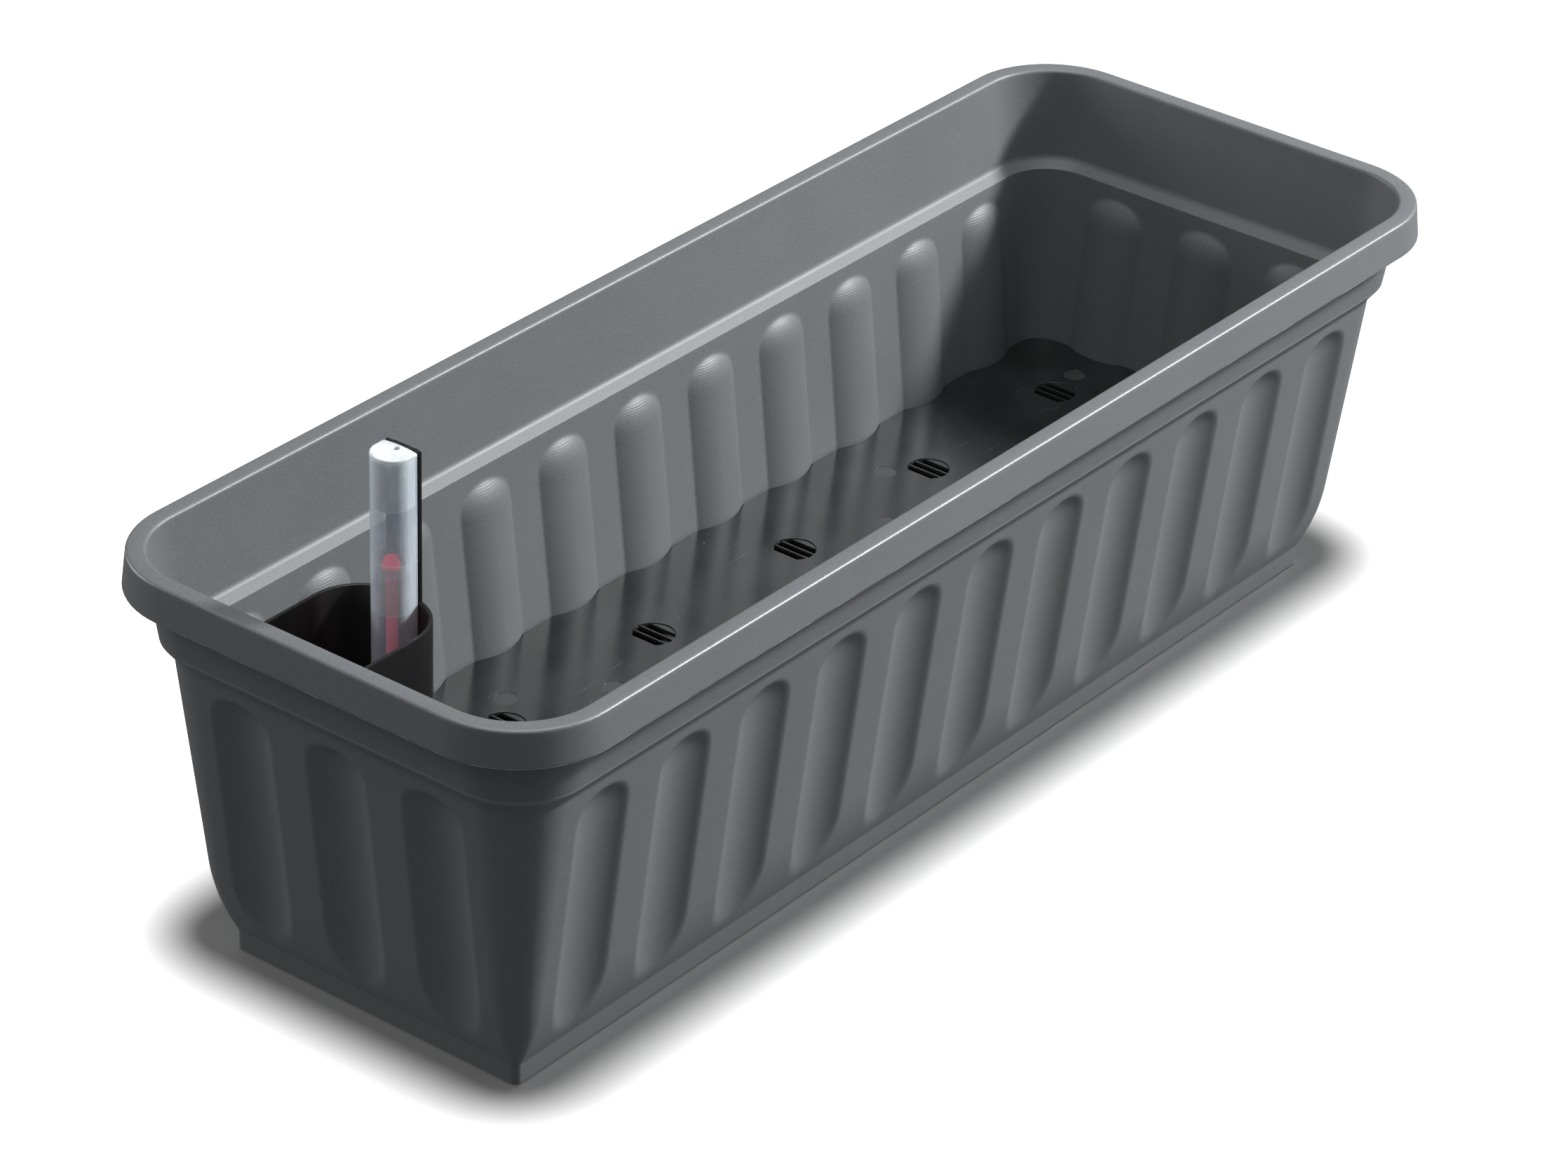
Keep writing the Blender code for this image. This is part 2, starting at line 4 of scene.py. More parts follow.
import bmesh
import bpy
import numpy as np
from mathutils import Matrix, Vector


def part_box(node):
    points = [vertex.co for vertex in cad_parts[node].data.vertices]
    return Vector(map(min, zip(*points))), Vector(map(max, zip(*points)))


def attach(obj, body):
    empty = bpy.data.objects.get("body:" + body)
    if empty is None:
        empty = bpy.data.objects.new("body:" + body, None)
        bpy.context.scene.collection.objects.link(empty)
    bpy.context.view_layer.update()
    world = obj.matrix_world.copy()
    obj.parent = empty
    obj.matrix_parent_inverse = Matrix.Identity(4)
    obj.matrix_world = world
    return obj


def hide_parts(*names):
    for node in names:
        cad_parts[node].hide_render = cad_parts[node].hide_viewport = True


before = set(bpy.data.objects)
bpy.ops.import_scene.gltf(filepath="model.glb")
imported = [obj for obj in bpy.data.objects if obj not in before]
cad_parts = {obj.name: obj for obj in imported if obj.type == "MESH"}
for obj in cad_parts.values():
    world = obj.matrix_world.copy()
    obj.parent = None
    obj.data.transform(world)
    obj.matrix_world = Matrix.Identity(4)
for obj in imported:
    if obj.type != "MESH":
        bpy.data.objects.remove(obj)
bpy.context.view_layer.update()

RANDOM = random.Random(7)

# The trough's outline and wall, in metres. An inset is measured inwards from the rim's outline.
TROUGH_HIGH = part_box("trough")[1]
SKIRT_FLARE = 0.0015
HALF_LENGTH = TROUGH_HIGH.x - SKIRT_FLARE
HALF_WIDTH = TROUGH_HIGH.y - SKIRT_FLARE
HEIGHT = TROUGH_HIGH.z
WALL = 0.002
RIM_RADIUS = 0.0411
TIGHTEST_CORNER, UNDERSIDE_CORNER = 0.003, 0.0014
SHOULDER_Z, SHOULDER_INSET, SHOULDER_DRAFT = 0.1414, 0.0116, 0.155
SHOULDER_FOOT_Z, RIDGE_RADIUS = 0.1346, 0.0003
LEDGE_TOP_Z, LEDGE_FOOT_Z = 0.1395, 0.1361
SHOULDER_FOOT_RADIUS, LEDGE_TOP_RADIUS = 0.005, 0.004
ARC_STEPS = 9
WALL_TOP_Z, WALL_TOP_INSET, WALL_DRAFT = 0.133, 0.0171, 0.117
BOWL_TOP_Z, BOWL_RADIUS = 0.042, 0.0813
PLINTH_HEIGHT = 0.009
FLOOR_Z = 0.0032
STANDING_RING = 0.006
UNDERSIDE_RECESS = 0.0012
DRAIN_PLACES = [(x, y) for x in (-0.195, -0.065, 0.065, 0.195) for y in (-0.040, 0.040)]
DRAIN_RADIUS, DRAIN_DEPTH = 0.005, 0.0008

# Flutes
FLUTE_PITCH = 0.0474
FLUTES_LONG, FLUTES_END = 11, 3
FLUTE_HALF_WIDTH, FLUTE_DEPTH = 0.0144, 0.004
FLUTE_TOP_Z = 0.1294
FLUTE_RADIUS = (FLUTE_HALF_WIDTH**2 + FLUTE_DEPTH**2) / (2 * FLUTE_DEPTH)
FLUTE_DOME_Z = FLUTE_TOP_Z - FLUTE_HALF_WIDTH
FLUTE_EDGE, RIB_EDGE = 0.0009, 0.0004
FLUTE_DOME_POWER = 1.5
FLUTE_MARGIN = 0.0022  # how far past a flute's edge its columns stay close together
CORNER_MARGIN = 0.0463  # what a side's columns leave free at each end for the corner

# False floor
PLATE_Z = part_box("insert_plate")[1].z
PLATE_THICKNESS = 0.002
PLATE_GAP = 0.0006
GRILLE_RADIUS, GRILLE_RECESS = 0.009, 0.0004
GRILLE_PITCH = 0.0925
GRILLE_COLUMNS, GRILLE_ROWS = (-1.5, -0.5, 0.5, 1.5, 2.5), (-0.041, 0.041)
GRILLE_PLACES = [(c * GRILLE_PITCH, y) for c in GRILLE_COLUMNS for y in GRILLE_ROWS]
SLOT_WIDTH, SLOT_BAR = 0.0034, 0.0009
LEG_PLACES = [
    (0.089, 0.026), (0.124, 0.053), (0.250, 0.044),
    (-0.089, 0.026), (-0.124, 0.053), (-0.222, 0.052),
]
LEG_WIDTH, LEG_FIN = 0.010, 0.0016
MARK_RADIUS = 0.00495

# Filling shaft
SHAFT_LOW, SHAFT_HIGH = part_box("fill_shaft")
SHAFT_HALF_WIDTH, SHAFT_WALL = 0.0252, 0.0016
SHAFT_NOSE_X, SHAFT_NOSE_RADIUS = -0.2415, 0.022
SHAFT_BOTTOM_Z = SHAFT_LOW.z
SHAFT_TOP_Z = 0.1775
SHAFT_WALL_GAP = 0.001
SHAFT_STRETCH_Z = 0.145  # above it the section's rows follow the top edge
NOTCH_HALF_WIDTH = 0.027
TAB_HALF_WIDTH = 0.0083
TAB_TOP_Z = SHAFT_HIGH.z
SOCKET_TOP_Z, SOCKET_GAP, SOCKET_WALL = 0.070, 0.0005, 0.0012
CATCH_ENDS_X = (-0.267, -0.261)
CATCH_HEIGHT, CATCH_REACH = 0.003, 0.0014
FLANGE_THICKNESS, FLANGE_REACH = 0.0015, 0.002

# Gauge
TUBE_LOW, TUBE_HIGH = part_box("gauge_tube")
CAP_LOW, CAP_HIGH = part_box("gauge_cap")
GUIDE_LOW, GUIDE_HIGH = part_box("needle_guide")
NEEDLE_LOW, NEEDLE_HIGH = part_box("gauge_needle")
FLOAT_LOW, FLOAT_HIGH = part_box("gauge_float")
TUBE_BACK_X = TUBE_HIGH.x
TUBE_HALF_WIDTH = TUBE_HIGH.y
TUBE_DEPTH = TUBE_HIGH.x - TUBE_LOW.x
TUBE_BACK_RADIUS = 0.045
TUBE_WALL = 0.0005
LINER_OFFSET, LINER_WALL = 0.0006, 0.0007
VENT_RADIUS, VENT_FROM_BACK = 0.0012, 0.003
FLOAT_OFFSET = 0.002
FLOAT_SOCKET_RADIUS, FLOAT_SOCKET_DEPTH = 0.0018, 0.008
GUIDE_WEB_Z, GUIDE_WEB, GUIDE_BORE = 0.191, 0.0014, 0.0027
AXIS_X = (NEEDLE_LOW.x + NEEDLE_HIGH.x) / 2
HEAD_RADIUS = (NEEDLE_HIGH.x - NEEDLE_LOW.x) / 2
HEAD_BOTTOM_Z, HEAD_TOP_Z = 0.1913, 0.197
HEAD_RIB = 0.0010
HEAD_CORE = 0.62  # the dome between the ribs, as a share of the head's radius
TOUCH_GAP = 0.0003


# Mesh helpers ---------------------------------------------------------------------------


def finish_mesh(name, bm, material, smooth_below=38, level_flat=False):
    """level_flat keeps the level faces' normals out of the smooth shading round them."""
    bmesh.ops.recalc_face_normals(bm, faces=bm.faces)
    mesh = bpy.data.meshes.new(name)
    bm.to_mesh(mesh)
    bm.free()
    mesh.materials.append(material)
    mesh.shade_smooth()
    mesh.set_sharp_from_angle(angle=math.radians(smooth_below))
    if level_flat:
        for polygon in mesh.polygons:
            if abs(polygon.normal.z) > 0.9999:
                polygon.use_smooth = False
    obj = bpy.data.objects.new(name, mesh)
    bpy.context.scene.collection.objects.link(obj)
    return obj


def place(obj, body, slot, *nodes):
    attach(obj, body)
    if nodes:
        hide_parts(*nodes)
    return obj


def add_ring(bm, points):
    return [bm.verts.new(point) for point in points]


def join_rings(bm, ring, following):
    count = len(ring)
    for i in range(count):
        j = (i + 1) % count
        bm.faces.new((ring[i], ring[j], following[j], following[i]))


def join_all(bm, rings, closed=False):
    for ring, following in zip(rings, rings[1:] + (rings[:1] if closed else [])):
        join_rings(bm, ring, following)


def skin_rows(bm, rows):
    rings = [add_ring(bm, row) for row in rows]
    join_all(bm, rings)
    bm.faces.new(rings[0])
    bm.faces.new(rings[-1])


def cap_in_pairs(bm, ring):
    """Closes a ring whose first half runs out and whose second half runs back beside it."""
    for k in range(len(ring) // 2 - 1):
        bm.faces.new((ring[k], ring[k + 1], ring[-2 - k], ring[-1 - k]))


def ring_edges(bm, ring):
    edges = []
    for a, b in zip(ring, ring[1:] + ring[:1]):
        edges.append(bm.edges.get((a, b)) or bm.edges.new((a, b)))
    return edges


def fill_around(bm, outer, holes):
    """A flat face inside one ring and around others."""
    edges = ring_edges(bm, outer)
    for hole in holes:
        edges += ring_edges(bm, hole)
    bmesh.ops.triangle_fill(bm, edges=edges, use_beauty=True, use_dissolve=False)


def circle(x, y, radius, z, steps=48):
    turns = [2 * math.pi * i / steps for i in range(steps)]
    return [(x + radius * math.cos(t), y + radius * math.sin(t), z) for t in turns]


def turned(bm, x, y, profile, steps=40):
    skin_rows(bm, [circle(x, y, radius, z, steps) for radius, z in profile])


def at_height(outline, z):
    return [(x, y, z) for x, y in outline]


def filleted(outline, radius, steps=5, least_turn=30):
    """The outline with each sharp corner replaced by a curve that starts at a distance from it."""
    result = []
    count = len(outline)
    for i, here in enumerate(outline):
        before, after = Vector(outline[i - 1]), Vector(outline[(i + 1) % count])
        corner = Vector(here)
        come, leave = corner - before, after - corner
        if math.degrees(come.angle(leave)) < least_turn:
            result.append(here)
            continue
        reach = min(radius, 0.45 * come.length, 0.45 * leave.length)
        start = corner - reach * come.normalized()
        end = corner + reach * leave.normalized()
        for step in range(steps + 1):
            t = step / steps
            point = (1 - t) ** 2 * start + 2 * t * (1 - t) * corner + t * t * end
            result.append((point.x, point.y))
    return result


# Trough surface -------------------------------------------------------------------------


def bowl_inset(z):
    drop = np.maximum(BOWL_TOP_Z - z, 0.0)
    return BOWL_RADIUS - np.sqrt(BOWL_RADIUS**2 - drop**2)


def straight_inset(z):
    return WALL_TOP_INSET + WALL_DRAFT * (WALL_TOP_Z - z)


def wall_inset(z, thickness=0.0):
    drop = np.maximum(BOWL_TOP_Z - z, 0.0)
    slope = WALL_DRAFT + drop / np.sqrt(BOWL_RADIUS**2 - drop**2)
    return straight_inset(z) + bowl_inset(z) + thickness * np.hypot(1.0, slope)


def soft_max(a, b, width):
    near = np.maximum(width - np.abs(a - b), 0.0) / width
    return np.maximum(a, b) + near * near * width / 4


def fluted_inset(across, z, thickness=0.0, edge=FLUTE_EDGE):
    """Inset of the fluted wall, with the flute's edges softened."""
    plain = wall_inset(z, thickness) + 0.0 * across
    radius = FLUTE_RADIUS + thickness
    rise = np.maximum(z - FLUTE_DOME_Z, 0.0) / FLUTE_HALF_WIDTH
    beyond = FLUTE_HALF_WIDTH * rise**FLUTE_DOME_POWER
    left = np.maximum(radius**2 - across**2 - beyond**2, (0.2 * radius) ** 2)
    floor = straight_inset(z) + thickness * math.hypot(1.0, WALL_DRAFT) + FLUTE_DEPTH
    return soft_max(plain, floor - radius + np.sqrt(left), edge)


def across_steps(fine):
    """Distances across one flute's pitch, close together where the flute is."""
    half = FLUTE_HALF_WIDTH + FLUTE_MARGIN
    inner = np.linspace(-half, half, fine)
    crease = FLUTE_HALF_WIDTH + np.array([-0.0003, 0.0, 0.0003, 0.00055, 0.00085])
    inner = np.unique(np.round(np.concatenate([inner, crease, -crease]), 5))
    rest = np.linspace(half, FLUTE_PITCH / 2, 4)[1:]
    return np.concatenate([-rest[::-1], inner, rest[:-1]])


class Outline:
    """Columns of the trough's outline, anticlockwise, that any inset can be laid out on."""

    def __init__(self, fine=33, corner_steps=16):
        self.kind, self.sx, self.sy, self.along, self.across = [], [], [], [], []
        long_side = self.side_places(FLUTES_LONG, fine, HALF_LENGTH)
        end_side = self.side_places(FLUTES_END, fine, HALF_WIDTH)
        turns = np.linspace(0, math.pi / 2, corner_steps + 1)
        for side, sign, stations, corner, start in (
            ("y", -1, long_side, (1, -1), -math.pi / 2),
            ("x", 1, end_side, (1, 1), 0.0),
            ("y", 1, [(-p, a) for p, a in long_side], (-1, 1), math.pi / 2),
            ("x", -1, [(-p, a) for p, a in end_side], (-1, -1), math.pi),
        ):
            for along, across in stations:
                self.add(side, sign, sign, along, across)
            for turn in turns:
                self.add("corner", corner[0], corner[1], start + turn, FLUTE_PITCH)
        self.kind = np.array(self.kind)
        self.sx, self.sy = np.array(self.sx), np.array(self.sy)
        self.along, self.across = np.array(self.along), np.array(self.across)

    @staticmethod
    def side_places(count, fine, half_side):
        """(along, across) pairs, kept clear of where the tightest corner starts."""
        centres = [(i - (count - 1) / 2) * FLUTE_PITCH for i in range(count)]
        places = [(centre + u, u) for centre in centres for u in across_steps(fine)]
        return [(along, u) for along, u in places if abs(along) < half_side - CORNER_MARGIN]

    def add(self, kind, sx, sy, along, across):
        self.kind.append(kind)
        self.sx.append(sx)
        self.sy.append(sy)
        self.along.append(along)
        self.across.append(across)

    def row(self, z, inset, plain=None, tightest=TIGHTEST_CORNER):
        """(n, 3) points at height z. The inset is one number or one per column.

        plain is the corners' own inset, and the first corner column's when it isn't given.
        """
        inset = inset + np.zeros(len(self.kind))
        plain = float(inset[self.kind == "corner"][0]) if plain is None else plain
        radius = max(RIM_RADIUS - plain, tightest)
        corner = self.kind == "corner"
        side_y = self.kind == "y"
        x = np.where(side_y, self.along, self.sx * (HALF_LENGTH - inset))
        y = np.where(side_y, self.sy * (HALF_WIDTH - inset), self.along)
        corner_x = self.sx * (HALF_LENGTH - plain - radius) + radius * np.cos(self.along)
        corner_y = self.sy * (HALF_WIDTH - plain - radius) + radius * np.sin(self.along)
        x = np.where(corner, corner_x, x)
        y = np.where(corner, corner_y, y)
        return np.stack([x, y, np.full(len(x), z)], axis=1)

    def fluted(self, z, thickness, edge=FLUTE_EDGE):
        return self.row(z, fluted_inset(self.across, z, thickness, edge))


def rounded(before, corner, after, radius, steps=ARC_STEPS):
    """Points of the arc that rounds off a corner of a profile."""
    before, corner, after = Vector(before), Vector(corner), Vector(after)
    come, leave = (corner - before).normalized(), (after - corner).normalized()
    turn = come.angle(leave)
    start = corner - radius * math.tan(turn / 2) * come
    middle = start + radius * (leave - leave.dot(come) * come).normalized()
    points = []
    for i in range(steps + 1):
        t = turn * i / steps
        out = (start - middle) * math.cos(t) + radius * come * math.sin(t)
        points.append(tuple(middle + out))
    return points


def upper_wall(z):
    return SHOULDER_INSET - SHOULDER_DRAFT * (z - SHOULDER_Z)


def shoulder_corners(ridge_z, foot_z, thickness=0.0):
    above = (upper_wall(ridge_z + 0.006) + thickness, ridge_z + 0.006)
    ridge = (upper_wall(ridge_z) + thickness, ridge_z)
    foot = (float(straight_inset(foot_z)) + thickness, foot_z)
    return [above, ridge, foot, (WALL_TOP_INSET + thickness, WALL_TOP_Z)]


def shoulder_curve(corners, ridge_radius, foot_radius):
    """(inset, z) pairs of one face from the ridge down to the fluted wall."""
    above, ridge, foot, below = corners
    curve = rounded(above, ridge, foot, ridge_radius)
    curve += rounded(ridge, foot, below, foot_radius)
    return curve + [below]


def rim_rows():
    """(inset, z) pairs over the rim, from its inner wall to under the skirt."""
    mm = (
        (8.15, 1.7), (8.05, 1.1), (7.8, 0.6), (7.4, 0.25), (6.9, 0.06), (6.4, 0.0), (4.0, 0.0),
        (1.5, 0.0), (1.05, 0.06), (0.65, 0.22), (0.3, 0.5), (0.1, 0.85), (0.0, 1.3),
        (-0.2, 3.2), (-0.75, 8.0), (-1.4, 14.0), (-1.5, 14.75), (-1.42, 14.93), (-1.2, 15.0),
        (0.2, 15.0), (0.42, 14.93), (0.5, 14.75), (0.9, 11.0), (1.8, 3.0), (2.1, 2.3), (2.7, 2.0),
        (5.2, 2.0), (5.9, 2.25), (6.22, 2.9),
    )
    return [(inset / 1000, HEIGHT - down / 1000) for inset, down in mm]


# What the trough's material reads at each vertex
TROUGH_LAYERS = ("rib", "skirt_edge", "rim_edge", "ridge_edge")


def make_trough(material):
    outline = Outline()
    dome = np.arange(FLUTE_DOME_Z - 0.002, FLUTE_TOP_Z + 0.0021, 0.0009)
    low = np.linspace(PLINTH_HEIGHT + 0.0006, BOWL_TOP_Z + 0.004, 30)
    straight = np.linspace(BOWL_TOP_Z + 0.004, dome[0], 8)[1:-1]
    wall = np.concatenate([low, straight, dome])
    upper = [(upper_wall(z), z) for z in (0.172, 0.165, 0.158, 0.151, 0.146)]
    outside = shoulder_corners(SHOULDER_Z, SHOULDER_FOOT_Z)
    inside_ledge = shoulder_corners(LEDGE_TOP_Z, LEDGE_FOOT_Z, WALL)
    shoulder = shoulder_curve(outside, RIDGE_RADIUS, SHOULDER_FOOT_RADIUS)
    outer = upper + shoulder
    inner = [(inset + WALL, z) for inset, z in upper]
    inner += shoulder_curve(inside_ledge, LEDGE_TOP_RADIUS, RIDGE_RADIUS)
    ridge = set(shoulder[:ARC_STEPS + 1])
    flat = np.zeros(len(outline.kind))
    rows = []

    def plain(inset, z, tightest=TIGHTEST_CORNER):
        down = HEIGHT - z
        skirt_edge = float(inset < -0.001 and down > 0.0145)
        rim_edge = float(0.00003 < down < 0.0012) * (0.9 if inset < 0.004 else 0.3)
        edges = (skirt_edge, rim_edge, float((inset, z) in ridge))
        rows.append((outline.row(z, inset, inset, tightest), flat, edges))

    def fluted(z, thickness):
        edge = RIB_EDGE if thickness else FLUTE_EDGE
        raised = fluted_inset(outline.across, z, thickness) - wall_inset(z, thickness)
        rib = raised / FLUTE_DEPTH if thickness else flat
        rows.append((outline.fluted(z, thickness, edge), rib, (0.0, 0.0, 0.0)))

    inside = float(wall_inset(PLINTH_HEIGHT, WALL))
    for inset, z in ((inside + 0.0012, FLOOR_Z), (inside + 0.0003, FLOOR_Z + 0.0003)):
        plain(inset, z)
    plain(inside, FLOOR_Z + 0.0012)
    for z in np.concatenate([low[::3], straight, dome]):
        fluted(z, WALL)
    for inset, z in reversed(inner):
        plain(inset, z)
    for inset, z in rim_rows() + outer:
        plain(inset, z)
    for z in wall[::-1]:
        fluted(z, 0.0)
    foot = float(wall_inset(PLINTH_HEIGHT))
    inner_foot = foot + STANDING_RING
    for inset, z in (
        (foot, PLINTH_HEIGHT - 0.0004), (foot, 0.0006),
        (foot + 0.0002, 0.0002), (foot + 0.0006, 0.0),
    ):
        plain(inset, z)
    for inset, z in (
        (inner_foot - 0.0003, 0.0), (inner_foot, 0.0003), (inner_foot, UNDERSIDE_RECESS),
    ):
        plain(inset, z, UNDERSIDE_CORNER)

    bm = bmesh.new()
    rib_layer, *edge_layers = [bm.verts.layers.float.new(name) for name in TROUGH_LAYERS]
    rings = []
    for points, ribs, edges in rows:
        ring = add_ring(bm, points.tolist())
        for vert, amount in zip(ring, ribs.tolist()):
            vert[rib_layer] = amount
            for layer, value in zip(edge_layers, edges):
                vert[layer] = value
        rings.append(ring)
    join_all(bm, rings)
    bm.faces.new(rings[0])
    marks = []
    for x, y in DRAIN_PLACES:
        top = UNDERSIDE_RECESS + DRAIN_DEPTH
        steps = (
            (DRAIN_RADIUS, UNDERSIDE_RECESS), (DRAIN_RADIUS - 0.0002, UNDERSIDE_RECESS + 0.0002),
            (DRAIN_RADIUS - 0.0003, top),
        )
        drain = [add_ring(bm, circle(x, y, radius, z, 32)) for radius, z in steps]
        join_all(bm, drain)
        bm.faces.new(drain[-1])
        marks.append(drain[0])
    fill_around(bm, rings[-1], marks)
    return finish_mesh("planter_trough", bm, material, 50)


# False floor ----------------------------------------------------------------------------


def shaft_outline(offset, steps=20):
    half = SHAFT_HALF_WIDTH - offset
    radius = SHAFT_NOSE_RADIUS - offset
    centre_x = SHAFT_NOSE_X - SHAFT_NOSE_RADIUS
    centre_y = SHAFT_HALF_WIDTH - SHAFT_NOSE_RADIUS
    turns = [math.pi / 2 * i / steps for i in range(steps + 1)]
    quarter = [(centre_x + radius * math.cos(t), centre_y + radius * math.sin(t)) for t in turns]
    other = [(x, -y) for x, y in reversed(quarter)]
    return half, other + quarter


def plate_row(outline, z, extra):
    """The plate's edge with the shaft's notch let into its -X end."""
    row = outline.row(z, fluted_inset(outline.across, z, WALL) + PLATE_GAP + extra)
    half, nose = shaft_outline(-TOUCH_GAP - extra)
    end_x = -(HALF_LENGTH - float(wall_inset(z, WALL)) - PLATE_GAP - extra)
    points = []
    notched = False
    at_end = (outline.kind == "x") & (outline.sx < 0) & (np.abs(outline.along) < NOTCH_HALF_WIDTH)
    for inside_notch, point in zip(at_end, row.tolist()):
        if not inside_notch:
            points.append(tuple(point))
        elif not notched:
            notched = True
            points.append((end_x, half, z))
            points += [(x, y, z) for x, y in reversed(nose)]
            points.append((end_x, -half, z))
    return points


def slot_loop(x, y, centre, grow, steps=6):
    half = SLOT_WIDTH / 2 + grow
    reach = GRILLE_RADIUS - GRILLE_RECESS / 2 + grow
    places = [centre - half + 2 * half * i / steps for i in range(steps + 1)]
    arc = [(p, math.sqrt(reach**2 - p**2)) for p in places]
    return [(x + a, y + b) for a, b in arc + [(p, -q) for p, q in reversed(arc)]]


def add_grille(bm, x, y):
    """One grille; gives the ring in the plate's top and those of the slots in its underside."""
    recess_z = PLATE_Z - GRILLE_RECESS
    lip = (
        (0.00015, PLATE_Z), (0.00004, PLATE_Z - 0.00005),
        (0.0, PLATE_Z - 0.00015), (0.0, recess_z),
    )
    recess = [add_ring(bm, circle(x, y, GRILLE_RADIUS + grow, z)) for grow, z in lip]
    join_all(bm, recess)
    above, below = [], []
    for column in (-1, 0, 1):
        centre = column * (SLOT_WIDTH + SLOT_BAR)
        loops = ((0.00008, recess_z), (0.0, recess_z - 0.00012), (0.0, PLATE_Z - PLATE_THICKNESS))
        slot = [add_ring(bm, at_height(slot_loop(x, y, centre, grow), z)) for grow, z in loops]
        join_all(bm, slot)
        above.append(slot[0])
        below.append(slot[-1])
    fill_around(bm, recess[-1], above)
    return recess[0], below


def cross_outline(x, y, width, fin):
    w, f = width / 2, fin / 2
    corners = [(w, f), (f, f), (f, w), (-f, w), (-f, f), (-w, f)]
    return [(x + a, y + b) for a, b in corners] + [(x - a, y - b) for a, b in corners]


def add_leg(bm, x, y):
    bottom = FLOOR_Z + TOUCH_GAP
    rows = ((0.76, bottom), (0.8, bottom + 0.0003), (1.0, PLATE_Z - PLATE_THICKNESS + 0.0004))
    skin_rows(bm, [at_height(cross_outline(x, y, LEG_WIDTH * s, LEG_FIN * s), z) for s, z in rows])


def make_plate(material, mark_material):
    outline = Outline(fine=25, corner_steps=12)
    bottom = PLATE_Z - PLATE_THICKNESS
    edge = (
        (0.0003, bottom), (0.0, bottom + 0.0003), (0.0, PLATE_Z - 0.0005),
        (0.00012, PLATE_Z - 0.0002), (0.0004, PLATE_Z),
    )
    bm = bmesh.new()
    rings = [add_ring(bm, plate_row(outline, z, extra)) for extra, z in edge]
    join_all(bm, rings)
    tops, bottoms = [], []
    for x, y in GRILLE_PLACES:
        top, under = add_grille(bm, x, y)
        tops.append(top)
        bottoms += under
    floors = []
    for x, y in LEG_PLACES:
        for side in (-1, 1):
            steps = ((MARK_RADIUS, PLATE_Z), (MARK_RADIUS - 0.0001, PLATE_Z - 0.00012))
            mark = [add_ring(bm, circle(x, side * y, radius, z, 32)) for radius, z in steps]
            join_all(bm, mark)
            floors.append(bm.faces.new(mark[-1]))
            tops.append(mark[0])
    fill_around(bm, rings[-1], tops)
    fill_around(bm, rings[0], bottoms)
    for face in floors:
        face.material_index = 1
    for x, y in LEG_PLACES:
        for side in (-1, 1):
            add_leg(bm, x, side * y)
    plate = finish_mesh("false_floor", bm, material, 35, level_flat=True)
    plate.data.materials.append(mark_material)
    return plate


# Filling shaft --------------------------------------------------------------------------


def leg_end_x(z):
    """Where the shaft's legs stop short of the trough's end wall."""
    heights = [PLINTH_HEIGHT, BOWL_TOP_Z, WALL_TOP_Z, LEDGE_FOOT_Z, LEDGE_TOP_Z, HEIGHT]
    insets = [float(wall_inset(h, WALL)) for h in heights[:4]]
    insets += [upper_wall(LEDGE_TOP_Z) + WALL, 0.008]
    return -HALF_LENGTH + SHAFT_WALL_GAP + float(np.interp(z, heights, insets))


def shaft_columns():
    """The columns round the shaft's U, and the function that gives a column's point.

    A column is (kind, place along the leg or turn in degrees, side, 1 on the tab or 0 off it).
    """
    centre_x = SHAFT_NOSE_X - SHAFT_NOSE_RADIUS
    centre_y = SHAFT_HALF_WIDTH - SHAFT_NOSE_RADIUS
    tab_turn = math.degrees(math.asin((TAB_HALF_WIDTH - centre_y) / SHAFT_NOSE_RADIUS))
    half = []
    for i in range(5):
        half.append(("leg", i / 5, 0))
    for turn in np.linspace(90, tab_turn + 0.06, 26):
        half.append(("arc", turn, 0))
    for turn in np.linspace(tab_turn, 0, 7):
        half.append(("arc", turn, 1))
    columns = [(kind, value, -1, tab) for kind, value, tab in half]
    columns.append(("flat", 0.0, 0, 1))
    columns += [(kind, value, 1, tab) for kind, value, tab in reversed(half)]

    def point(column, offset, z):
        kind, value, side, _ = column
        if kind == "flat":
            return (SHAFT_NOSE_X - offset, 0.0, z)
        if kind == "leg":
            x = leg_end_x(z) * (1 - value) + centre_x * value
            return (x, side * (SHAFT_HALF_WIDTH - offset), z)
        turn = math.radians(value)
        radius = SHAFT_NOSE_RADIUS - offset
        x = centre_x + radius * math.cos(turn)
        if z > SHAFT_TOP_Z and offset > SHAFT_WALL / 2:
            x = max(x, SHAFT_NOSE_X - SHAFT_WALL)
        return (x, side * (centre_y + radius * math.sin(turn)), z)

    return columns, point


def sweep_round_shaft(bm, profile_at):
    """A closed section, given for each column as (offset, z) pairs, swept round the U."""
    columns, point = shaft_columns()
    rings = [add_ring(bm, [point(c, offset, z) for offset, z in profile_at(c)]) for c in columns]
    join_all(bm, rings)
    cap_in_pairs(bm, rings[0])
    cap_in_pairs(bm, rings[-1])


